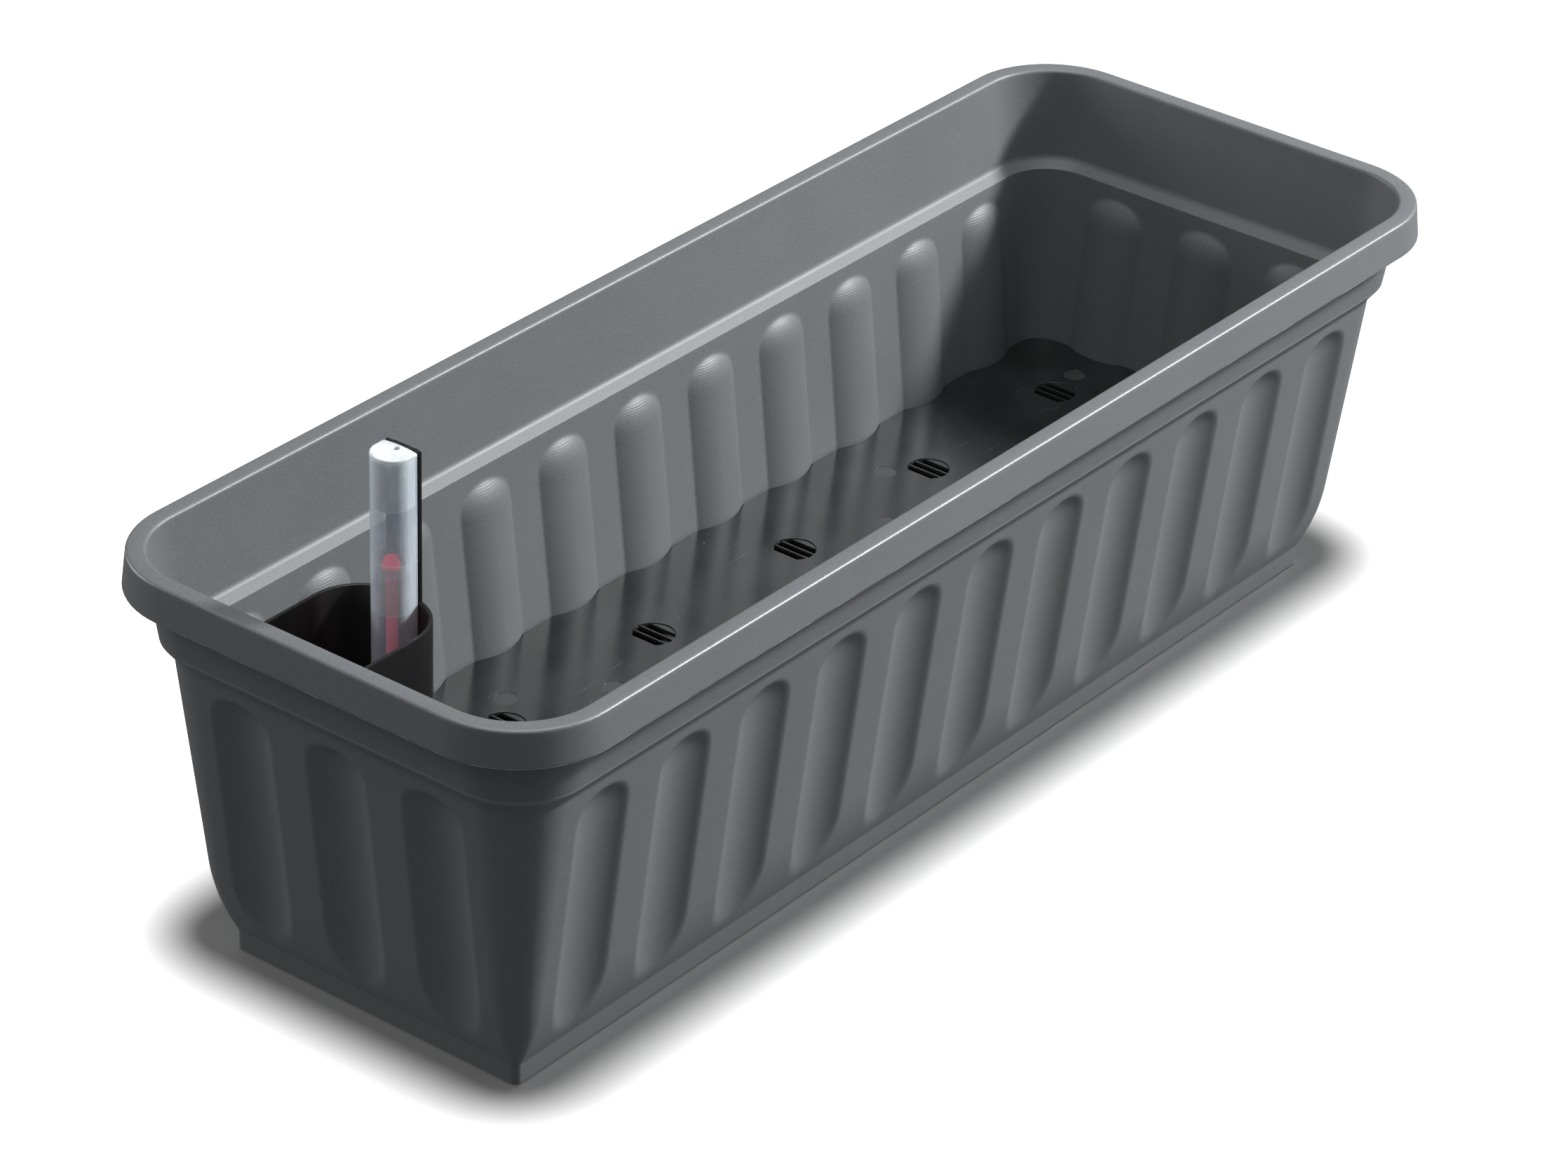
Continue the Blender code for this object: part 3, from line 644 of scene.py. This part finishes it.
def shaft_section(column):
    on_tab = column[3]
    ragged = RANDOM.uniform(0.0, 0.0005) if on_tab else RANDOM.uniform(0.0, 0.00003)
    top = (TAB_TOP_Z if on_tab else SHAFT_TOP_Z) - ragged
    base = SHAFT_STRETCH_Z
    heights = [SHAFT_BOTTOM_Z + 0.0003, 0.057, 0.070, 0.100, 0.125, 0.131, 0.133, 0.1375, 0.1414]
    heights += [base, 0.160, SHAFT_TOP_Z - 0.0004]
    stretch = (top - 0.0004 - base) / (SHAFT_TOP_Z - 0.0004 - base)
    heights = [z if z <= base else base + (z - base) * stretch for z in heights]
    inside = [(SHAFT_WALL, z) for z in heights]
    over = [
        (SHAFT_WALL - 0.00012, top - 0.00012), (SHAFT_WALL - 0.0004, top),
        (0.0004, top), (0.00012, top - 0.00012),
    ]
    outside = [(0.0, z) for z in reversed(heights)]
    foot = [(0.0002, SHAFT_BOTTOM_Z), (SHAFT_WALL - 0.0002, SHAFT_BOTTOM_Z)]
    return [foot[1], *inside, *over, *outside, foot[0]]


def flange_section(_):
    low = PLATE_Z + TOUCH_GAP
    top, reach = low + FLANGE_THICKNESS, -FLANGE_REACH
    return [
        (SHAFT_WALL / 2, low), (SHAFT_WALL / 2, top), (reach + 0.0004, top),
        (reach + 0.0001, top - 0.0003), (reach, top - 0.0007), (reach, low),
    ]


def add_socket(bm):
    inside = TUBE_HALF_WIDTH + SOCKET_GAP
    outside = inside + SOCKET_WALL
    wall_radius = SHAFT_NOSE_RADIUS - SHAFT_WALL / 2
    along = outside - SHAFT_HALF_WIDTH + SHAFT_NOSE_RADIUS
    back = SHAFT_NOSE_X - SHAFT_NOSE_RADIUS + math.sqrt(wall_radius**2 - along**2)
    middle = TUBE_BACK_X - TUBE_DEPTH + TUBE_HALF_WIDTH
    front = middle - outside
    turns = [math.pi * (i / 32 - 1.5) for i in range(33)]
    arc = [(middle + inside * math.cos(t), inside * math.sin(t)) for t in turns]
    outline = [(back, inside), *arc, (back, -inside), (back, -outside), (front, -outside)]
    outline += [(front, outside), (back, outside)]
    skin_rows(bm, [at_height(outline, z) for z in (SHAFT_BOTTOM_Z, SOCKET_TOP_Z)])


def add_catches(bm):
    top = PLATE_Z - PLATE_THICKNESS - TOUCH_GAP
    for side in (1, -1):
        inside = side * (SHAFT_HALF_WIDTH - SHAFT_WALL / 2)
        tip = side * (SHAFT_HALF_WIDTH + CATCH_REACH)
        profile = [(inside, top - CATCH_HEIGHT), (inside, top), (tip, top), (tip, top - 0.0003)]
        skin_rows(bm, [[(x, y, z) for y, z in profile] for x in CATCH_ENDS_X])


def make_shaft(material):
    bm = bmesh.new()
    sweep_round_shaft(bm, shaft_section)
    sweep_round_shaft(bm, flange_section)
    add_socket(bm)
    add_catches(bm)
    return finish_mesh("filling_shaft", bm, material, 35)


# Gauge ----------------------------------------------------------------------------------


def d_outline(offset, corner=0.0007, back_steps=10, front_steps=48):
    """The tube's D, flatter at its back, inset by an offset."""
    half = TUBE_HALF_WIDTH - offset
    back = TUBE_BACK_RADIUS - offset
    reach = math.asin(half / back)
    centre_x = TUBE_BACK_X - TUBE_BACK_RADIUS
    front_x = TUBE_BACK_X - TUBE_DEPTH + TUBE_HALF_WIDTH
    outline = []
    for i in range(back_steps + 1):
        turn = reach * (2 * i / back_steps - 1)
        outline.append((centre_x + back * math.cos(turn), back * math.sin(turn)))
    for i in range(front_steps + 1):
        turn = math.pi / 2 + math.pi * i / front_steps
        outline.append((front_x + half * math.cos(turn), half * math.sin(turn)))
    return filleted(outline, corner)


def d_rings(bm, section):
    return [add_ring(bm, at_height(d_outline(offset), z)) for offset, z in section]


def make_tube(material):
    low, high = TUBE_LOW.z, TUBE_HIGH.z
    section = (
        (TUBE_WALL - 0.0002, low), (0.0002, low), (0.0, low + 0.0002),
        (0.0, high - 0.0002), (0.0002, high), (TUBE_WALL - 0.0002, high),
        (TUBE_WALL, high - 0.0002), (TUBE_WALL, low + 0.0002),
    )
    bm = bmesh.new()
    join_all(bm, d_rings(bm, section), closed=True)
    return finish_mesh("gauge_tube_clear", bm, material)


def make_cap(material):
    top = CAP_HIGH.z - 0.00015
    under = CAP_HIGH.z - LINER_WALL - TOUCH_GAP
    flange = TUBE_HIGH.z + TOUCH_GAP
    inside = LINER_OFFSET + LINER_WALL
    section = (
        (0.0011, top), (0.0007, top + 0.00008), (0.0003, top - 0.00008), (0.00008, top - 0.0003),
        (0.0, top - 0.0007), (0.0, flange + 0.0002), (0.0002, flange), (LINER_OFFSET, flange),
        (LINER_OFFSET, CAP_LOW.z + 0.0002), (LINER_OFFSET + 0.0002, CAP_LOW.z),
        (inside, CAP_LOW.z + 0.0002), (inside, under),
    )
    bm = bmesh.new()
    rings = d_rings(bm, section)
    join_all(bm, rings)
    vent_x = TUBE_BACK_X - VENT_FROM_BACK
    lip = (
        (VENT_RADIUS + 0.0006, top), (VENT_RADIUS + 0.0004, top + 0.0001),
        (VENT_RADIUS + 0.0001, top + 0.00002), (VENT_RADIUS, top - 0.0003), (VENT_RADIUS, under),
    )
    vent = [add_ring(bm, circle(vent_x, 0.0, radius, z, 32)) for radius, z in lip]
    join_all(bm, vent)
    fill_around(bm, rings[0], [vent[0]])
    fill_around(bm, rings[-1], [vent[-1]])
    return finish_mesh("gauge_tube_cap", bm, material, level_flat=True)


def make_guide(material):
    low, high = GUIDE_LOW.z, GUIDE_HIGH.z
    inside = LINER_OFFSET + LINER_WALL
    section = (
        (inside, GUIDE_WEB_Z), (inside, high - 0.0002), (inside - 0.0002, high),
        (LINER_OFFSET + 0.0002, high), (LINER_OFFSET, high - 0.0002), (LINER_OFFSET, low + 0.0002),
        (LINER_OFFSET + 0.0002, low), (inside, low + 0.0002), (inside, GUIDE_WEB_Z - GUIDE_WEB),
    )
    bm = bmesh.new()
    rings = d_rings(bm, section)
    join_all(bm, rings)
    web = (GUIDE_WEB_Z, GUIDE_WEB_Z - GUIDE_WEB)
    bore = [add_ring(bm, circle(AXIS_X, 0.0, GUIDE_BORE, z, 32)) for z in web]
    join_all(bm, bore)
    fill_around(bm, rings[0], [bore[0]])
    fill_around(bm, rings[-1], [bore[-1]])
    return finish_mesh("needle_guide_cup", bm, material)


def add_head_rib(bm, along_x):
    """Half of a disc standing on the needle's head."""
    base = HEAD_TOP_Z - HEAD_RADIUS
    turns = [math.pi * i / 20 for i in range(21)]
    arc = [(HEAD_RADIUS * math.cos(t), base + HEAD_RADIUS * math.sin(t) * 0.98) for t in turns]
    arc.append((-HEAD_RADIUS, base - 0.001))
    arc.insert(0, (HEAD_RADIUS, base - 0.001))
    sides = (-HEAD_RIB / 2, HEAD_RIB / 2)
    if along_x:
        rows = [[(AXIS_X + a, side, z) for a, z in arc] for side in sides]
    else:
        rows = [[(AXIS_X + side, a, z) for a, z in arc] for side in sides]
    skin_rows(bm, rows)


def make_needle(material):
    low = NEEDLE_LOW.z
    dome_z = HEAD_TOP_Z - HEAD_RADIUS
    profile = [
        (0.0012, low), (0.0015, low + 0.0003), (0.0015, 0.155), (0.0023, 0.1558),
        (0.0023, HEAD_BOTTOM_Z),
        (HEAD_RADIUS - 0.0002, HEAD_BOTTOM_Z), (HEAD_RADIUS, HEAD_BOTTOM_Z + 0.0002),
        (HEAD_RADIUS, dome_z - 0.0001), (HEAD_RADIUS - 0.0002, dome_z + 0.0001),
    ]
    for degrees in (0, 20, 40, 60, 80):
        turn = math.radians(degrees)
        radius = HEAD_CORE * HEAD_RADIUS * math.cos(turn)
        rise = HEAD_CORE * HEAD_RADIUS * math.sin(turn)
        profile.append((max(radius, 0.0003), dome_z + 0.0002 + rise))
    bm = bmesh.new()
    turned(bm, AXIS_X, 0.0, profile)
    add_head_rib(bm, True)
    add_head_rib(bm, False)
    return finish_mesh("level_needle", bm, material)


def make_float(material):
    offset = FLOAT_OFFSET
    low, high = FLOAT_LOW.z, FLOAT_HIGH.z
    section = (
        (offset + 0.0012, low), (offset + 0.0004, low + 0.0003), (offset, low + 0.0011),
        (offset, high - 0.0011), (offset + 0.0004, high - 0.0003), (offset + 0.0012, high),
    )
    bm = bmesh.new()
    rings = d_rings(bm, section)
    join_all(bm, rings)
    bm.faces.new(rings[0])
    radius = FLOAT_SOCKET_RADIUS
    steps = ((radius + 0.0003, high), (radius, high - 0.0004), (radius, high - FLOAT_SOCKET_DEPTH))
    socket = [add_ring(bm, circle(AXIS_X, 0.0, radius, z, 24)) for radius, z in steps]
    join_all(bm, socket)
    bm.faces.new(socket[-1])
    fill_around(bm, rings[-1], [socket[0]])
    return finish_mesh("level_float", bm, material)


# Materials ------------------------------------------------------------------------------

# The darkest and lightest colour of each black plastic
PLATE_TONE = ((0.010, 0.0105, 0.011), (0.022, 0.023, 0.024))
SHAFT_TONE = ((0.009, 0.009, 0.0095), (0.016, 0.016, 0.017))
MARK_TONE = ((0.028, 0.029, 0.030), (0.045, 0.046, 0.047))


class Surface:
    """A Principled material with short calls for its texture nodes."""

    def __init__(self, name):
        self.material = bpy.data.materials.new(name)
        self.material.use_nodes = True
        self.tree = self.material.node_tree
        self.shader = self.tree.nodes["Principled BSDF"]
        self.place = self.node("ShaderNodeTexCoord").outputs["Object"]

    def node(self, kind, **settings):
        made = self.tree.nodes.new(kind)
        for key, value in settings.items():
            setattr(made, key, value)
        return made

    def put(self, value, socket):
        if isinstance(value, bpy.types.NodeSocket):
            self.tree.links.new(value, socket)
        elif isinstance(value, tuple) and len(value) == 3 and socket.type == "RGBA":
            socket.default_value = (*value, 1.0)
        else:
            socket.default_value = value

    def set(self, name, value):
        self.put(value, self.shader.inputs[name])

    def noise(self, scale, detail=2.0, rough=0.5, stretch=None):
        made = self.node("ShaderNodeTexNoise")
        made.inputs["Scale"].default_value = scale
        made.inputs["Detail"].default_value = detail
        made.inputs["Roughness"].default_value = rough
        place = self.place
        if stretch:
            mapping = self.node("ShaderNodeMapping")
            mapping.inputs["Scale"].default_value = stretch
            self.tree.links.new(place, mapping.inputs["Vector"])
            place = mapping.outputs["Vector"]
        self.tree.links.new(place, made.inputs["Vector"])
        return made.outputs["Fac"]

    def specks(self, scale, size):
        """1 in small round specks, one to a cell at most."""
        made = self.node("ShaderNodeTexVoronoi")
        made.inputs["Scale"].default_value = scale
        self.tree.links.new(self.place, made.inputs["Vector"])
        return self.span(made.outputs["Distance"], size, size * 0.5, 0.0, 1.0)

    def span(self, value, low, high, to_low=0.0, to_high=1.0):
        made = self.node("ShaderNodeMapRange")
        self.put(value, made.inputs["Value"])
        names = ("From Min", "From Max", "To Min", "To Max")
        for name, number in zip(names, (low, high, to_low, to_high)):
            made.inputs[name].default_value = number
        return made.outputs["Result"]

    def math(self, operation, a, b=0.0):
        made = self.node("ShaderNodeMath", operation=operation)
        self.put(a, made.inputs[0])
        self.put(b, made.inputs[1])
        return made.outputs[0]

    def blend(self, amount, a, b):
        made = self.node("ShaderNodeMix", data_type="RGBA")
        self.put(amount, made.inputs["Factor"])
        self.put(a, made.inputs[6])
        self.put(b, made.inputs[7])
        return made.outputs[2]

    def height(self):
        made = self.node("ShaderNodeSeparateXYZ")
        self.tree.links.new(self.place, made.inputs[0])
        return made.outputs["Z"]

    def attribute(self, name):
        return self.node("ShaderNodeAttribute", attribute_name=name).outputs["Fac"]

    def bump(self, height, distance, strength=1.0, under=None):
        made = self.node("ShaderNodeBump")
        made.inputs["Strength"].default_value = strength
        made.inputs["Distance"].default_value = distance
        self.put(height, made.inputs["Height"])
        if under:
            self.tree.links.new(under, made.inputs["Normal"])
        return made.outputs["Normal"]


def anthracite_plastic():
    s = Surface("anthracite grained plastic")
    grain = s.noise(1500, 3, 0.6)
    fine = s.noise(4200, 1, 0.5)
    cloud = s.noise(22, 4, 0.55)
    tone = s.span(grain, 0.3, 0.7)
    colour = s.blend(tone, (0.098, 0.105, 0.112), (0.126, 0.134, 0.142))
    colour = s.blend(s.span(cloud, 0.3, 0.75, 0.0, 0.18), colour, (0.145, 0.152, 0.156))
    scuffs = s.noise(9, 2, 0.5, (60.0, 60.0, 2.0))
    where = s.span(s.noise(14, 2), 0.5, 0.62, 0.0, 0.12)
    scuff = s.math("MULTIPLY", s.span(scuffs, 0.66, 0.72), where)
    colour = s.blend(scuff, colour, (0.22, 0.23, 0.235))
    dust = s.math("MULTIPLY", s.specks(85, 0.020), s.span(s.noise(40, 1), 0.55, 0.65))
    colour = s.blend(dust, colour, (0.62, 0.63, 0.63))
    height = s.height()
    # The skirt's bottom edge: white nicks in spots, over an even light line that is a painted
    # highlight.
    edge = s.span(s.attribute("skirt_edge"), 0.80, 0.95)
    nick_and_highlight_strength = s.span(s.noise(60, 4, 0.7), 0.48, 0.64, 0.16, 0.9)
    nicks_and_painted_highlight = s.math("MULTIPLY", edge, nick_and_highlight_strength)
    colour = s.blend(nicks_and_painted_highlight, colour, (0.62, 0.63, 0.63))
    # A painted highlight: a faint light line along the outer shoulder's crisp ridge.
    ridge = s.span(s.attribute("ridge_edge"), 0.7, 1.0, 0.0, 0.30)
    colour = s.blend(ridge, colour, (0.30, 0.31, 0.32))
    s.set("Base Color", colour)
    rough = s.span(s.math("ADD", grain, s.math("MULTIPLY", cloud, 0.6)), 0.4, 1.2, 0.40, 0.56)
    polished = s.attribute("rim_edge")
    s.set("Roughness", s.math("SUBTRACT", rough, s.math("MULTIPLY", polished, 0.07)))
    s.set("Specular IOR Level", s.span(polished, 0.0, 1.0, 0.46, 0.8))
    steps = s.node("ShaderNodeTexWave", wave_type="BANDS", bands_direction="Z")
    steps.inputs["Scale"].default_value = 330
    steps.inputs["Distortion"].default_value = 0.6
    steps.inputs["Detail"].default_value = 2
    s.tree.links.new(s.place, steps.inputs["Vector"])
    rib = s.math("MULTIPLY", s.attribute("rib"), s.span(height, 0.112, 0.118))
    stepped = s.math("MULTIPLY", steps.outputs["Fac"], s.span(rib, 0.05, 0.3))
    stepped = s.math("MULTIPLY", stepped, s.span(s.noise(70, 2, 0.5, (1.0, 1.0, 3.0)), 0.35, 0.6))
    normal = s.bump(stepped, 0.00006, 0.8)
    grained = s.math("ADD", grain, s.math("MULTIPLY", fine, 0.5))
    s.set("Normal", s.bump(grained, 0.00010, 0.5, normal))
    return s.material


def black_plastic(name, roughness, tone, ripple=2.0):
    s = Surface(name)
    cloud = s.noise(30, 4, 0.55)
    grain = s.noise(1800, 2, 0.5)
    flow = s.noise(16, 3, 0.5, (1.0, 6.0, 1.0))
    colour = s.blend(s.span(cloud, 0.3, 0.75), tone[0], tone[1])
    dust = s.math("MULTIPLY", s.specks(120, 0.030), s.span(s.noise(30, 1), 0.5, 0.6))
    colour = s.blend(dust, colour, (0.45, 0.45, 0.45))
    scratches = s.noise(60, 2, 0.5, (1.0, 30.0, 30.0))
    where = s.span(s.noise(22, 2), 0.5, 0.6, 0.0, 0.3)
    scratch = s.math("MULTIPLY", s.span(scratches, 0.70, 0.74), where)
    colour = s.blend(scratch, colour, (0.16, 0.16, 0.16))
    s.set("Base Color", colour)
    uneven = s.math("ADD", cloud, s.math("MULTIPLY", flow, 0.5))
    s.set("Roughness", s.span(uneven, 0.4, 1.1, *roughness))
    s.set("Normal", s.bump(s.math("ADD", grain, s.math("MULTIPLY", flow, ripple)), 0.00004, 0.4))
    return s.material


def clear_plastic():
    """Thin clear wall: nearly see-through face on, and denser where it turns away."""
    s = Surface("clear styrene")
    haze = s.noise(120, 3, 0.6, (1.0, 1.0, 0.25))
    scratches = s.noise(90, 2, 0.5, (8.0, 8.0, 0.6))
    turned_away = s.node("ShaderNodeLayerWeight")
    turned_away.inputs["Blend"].default_value = 0.35
    scratched = s.span(scratches, 0.62, 0.70, 0.0, 0.14)
    veil = s.math("ADD", s.span(haze, 0.3, 0.7, 0.14, 0.22), scratched)
    s.set("Base Color", s.blend(s.span(haze, 0.3, 0.7), (0.66, 0.76, 0.86), (0.82, 0.88, 0.93)))
    s.set("Roughness", s.span(scratches, 0.55, 0.75, 0.06, 0.22))
    s.set("Alpha", s.math("ADD", veil, s.math("MULTIPLY", turned_away.outputs["Facing"], 0.6)))
    s.set("Specular IOR Level", 0.9)
    s.set("Normal", s.bump(haze, 0.00003, 0.3))
    return s.material


def milky_plastic(name, low_alpha, high_alpha):
    s = Surface(name)
    haze = s.noise(160, 4, 0.6)
    cloud = s.noise(900, 2, 0.5)
    s.set("Base Color", s.blend(s.span(haze, 0.3, 0.7), (0.72, 0.78, 0.81), (0.84, 0.87, 0.88)))
    s.set("Roughness", s.span(haze, 0.3, 0.7, 0.30, 0.44))
    s.set("Alpha", s.span(haze, 0.3, 0.7, low_alpha, high_alpha))
    s.set("Subsurface Weight", 0.3)
    s.set("Subsurface Scale", 0.001)
    s.set("Normal", s.bump(cloud, 0.00002, 0.4))
    return s.material


def needle_plastic():
    s = Surface("red needle plastic")
    cloud = s.noise(300, 3, 0.5)
    colour = s.blend(s.span(cloud, 0.3, 0.7), (0.95, 0.13, 0.24), (0.98, 0.20, 0.31))
    s.set("Base Color", colour)
    s.set("Roughness", s.span(cloud, 0.3, 0.7, 0.24, 0.36))
    s.set("Subsurface Weight", 0.25)
    s.set("Subsurface Scale", 0.002)
    # The emission is painted light: a faint glow that brightens the needle beyond the light
    # reaching it through the tube.
    s.set("Emission Color", colour)
    s.set("Emission Strength", 0.12)
    s.set("Normal", s.bump(cloud, 0.00003, 0.3))
    return s.material


def float_foam():
    s = Surface("white float foam")
    cells = s.node("ShaderNodeTexVoronoi")
    cells.inputs["Scale"].default_value = 900
    s.tree.links.new(s.place, cells.inputs["Vector"])
    distance = cells.outputs["Distance"]
    colour = s.blend(s.span(distance, 0.1, 0.7), (0.86, 0.86, 0.84), (0.74, 0.74, 0.72))
    s.set("Base Color", colour)
    s.set("Roughness", s.span(distance, 0.0, 0.8, 0.7, 0.85))
    s.set("Normal", s.bump(distance, 0.00015, 0.6))
    return s.material


def floor_finish():
    s = Surface("pale floor")
    cloud = s.noise(3, 3, 0.5)
    s.set("Base Color", s.blend(s.span(cloud, 0.3, 0.7), (0.86, 0.86, 0.86), (0.88, 0.88, 0.88)))
    s.set("Roughness", 0.9)
    s.set("Specular IOR Level", 0.1)
    return s.material


# Set ------------------------------------------------------------------------------------

WORLD_STRENGTH = 0.17
# Name, direction from the planter, distance, width, power, whether shiny surfaces mirror it
LIGHTS = (
    ("key", (0.635, -0.510, 0.580), 2.4, 0.26, 94, True),
    ("overhead", (0.05, 0.05, 1.0), 2.0, 1.4, 20, True),
    ("front high", (0.8, -1.0, 0.8), 2.2, 1.0, 16, False),
    ("front low", (1.0, -0.8, -0.45), 2.2, 1.0, 10, False),
    ("behind", (-0.35, 0.9, 0.30), 2.2, 0.9, 20, True),
    ("side", (-1.0, -0.2, 1.2), 2.2, 0.9, 6, True),
)
FLOOR_SUN = ((-0.05, -0.05, 1.0), 18, 6.5)  # direction, width in degrees, strength
FLOOR_REACH, FLOOR_DROP = 6.0, 0.0002
AIM_Z = 0.090

# The camera's bearing in degrees, its distance, and how far its aim is shifted in its own frame
CAMERA_AZIMUTH, CAMERA_ELEVATION, CAMERA_ROLL = -52.61, 30.024, 1.943
CAMERA_DISTANCE, CAMERA_LENS = 2.2241, 126.29
CAMERA_SHIFT = (0.00895, 0.01022)


def add_camera():
    """The photo's camera, rolled about its own axis."""
    bearing = (CAMERA_AZIMUTH, CAMERA_ELEVATION, CAMERA_ROLL)
    azimuth, elevation, roll = (math.radians(degrees) for degrees in bearing)
    back = Vector((
        math.sin(azimuth) * math.cos(elevation),
        -math.cos(azimuth) * math.cos(elevation),
        math.sin(elevation),
    ))
    level = (-back).cross(Vector((0, 0, 1))).normalized()
    upright = level.cross(-back)
    right = math.cos(roll) * level + math.sin(roll) * upright
    up = -math.sin(roll) * level + math.cos(roll) * upright
    target = Vector((0, 0, AIM_Z)) - CAMERA_SHIFT[0] * right - CAMERA_SHIFT[1] * up
    camera = bpy.data.objects.new("camera", bpy.data.cameras.new("camera"))
    camera.data.sensor_width = 36.0
    camera.data.lens = CAMERA_LENS
    camera.data.clip_start = 0.05
    camera.data.clip_end = 50.0
    turn = Matrix((right, up, back)).transposed().to_4x4()
    camera.matrix_world = Matrix.Translation(target + CAMERA_DISTANCE * back) @ turn
    bpy.context.scene.collection.objects.link(camera)
    bpy.context.scene.camera = camera


def add_area(name, direction, distance, size, power):
    """A square softbox that looks at the planter from a direction."""
    light = bpy.data.lights.new(name, "AREA")
    light.size = size
    light.energy = power
    obj = bpy.data.objects.new(name, light)
    back = Vector(direction).normalized()
    turn = back.to_track_quat("Z", "Y").to_matrix().to_4x4()
    obj.matrix_world = Matrix.Translation(Vector((0, 0, AIM_Z)) + distance * back) @ turn
    bpy.context.scene.collection.objects.link(obj)
    return obj


def add_sun(name, direction, degrees, strength):
    """A far light, given by its direction from the planter and how wide it looks."""
    light = bpy.data.lights.new(name, "SUN")
    light.angle = math.radians(degrees)
    light.energy = strength
    obj = bpy.data.objects.new(name, light)
    obj.matrix_world = Vector(direction).to_track_quat("Z", "Y").to_matrix().to_4x4()
    bpy.context.scene.collection.objects.link(obj)
    return obj


def link_to_floor(light, floor, state):
    """With INCLUDE the light reaches the floor alone, with EXCLUDE everything but the floor."""
    receivers = bpy.data.collections.new(light.name + " receivers")
    receivers.objects.link(floor)
    receivers.collection_objects[0].light_linking.link_state = state
    light.light_linking.receiver_collection = receivers


def add_set():
    bm = bmesh.new()
    reach = FLOOR_REACH
    corners = ((-reach, -reach), (reach, -reach), (reach, reach), (-reach, reach))
    bm.faces.new(add_ring(bm, at_height(corners, -FLOOR_DROP)))
    floor = finish_mesh("studio_floor", bm, floor_finish())
    floor.visible_diffuse = False
    floor.visible_glossy = False
    floor.visible_shadow = False
    world = bpy.data.worlds.new("studio")
    world.use_nodes = True
    background = world.node_tree.nodes["Background"]
    background.inputs["Color"].default_value = (1.0, 1.0, 1.0, 1.0)
    background.inputs["Strength"].default_value = WORLD_STRENGTH
    bpy.context.scene.world = world
    for name, direction, distance, size, power, mirrored in LIGHTS:
        light = add_area(name, direction, distance, size, power)
        light.visible_glossy = mirrored
        link_to_floor(light, floor, "EXCLUDE")
    link_to_floor(add_sun("floor", *FLOOR_SUN), floor, "INCLUDE")
    bpy.context.scene.view_settings.view_transform = "Standard"


def main():
    anthracite = anthracite_plastic()
    black = black_plastic("black satin plastic", (0.15, 0.23), PLATE_TONE, ripple=0.1)
    shaft_black = black_plastic("black shaft plastic", (0.22, 0.34), SHAFT_TONE)
    mark = black_plastic("ejector mark", (0.32, 0.42), MARK_TONE)
    clear = clear_plastic()
    milky = milky_plastic("milky plastic", 0.56, 0.68)
    thin_milky = milky_plastic("thin milky plastic", 0.20, 0.28)

    place(make_trough(anthracite), "trough", "anthracite", "trough")
    place(make_plate(black, mark), "insert", "black", "insert_plate")
    place(make_shaft(shaft_black), "insert", "black", "fill_shaft")
    place(make_tube(clear), "gauge", "clear", "gauge_tube")
    place(make_cap(milky), "cap", "milky", "gauge_cap")
    place(make_guide(thin_milky), "gauge", "milky", "needle_guide")
    place(make_needle(needle_plastic()), "float", "red", "gauge_needle")
    place(make_float(float_foam()), "float", "white", "gauge_float")
    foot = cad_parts["gauge_foot"]
    foot.data.materials.clear()
    foot.data.materials.append(shaft_black)

    add_camera()
    add_set()


main()
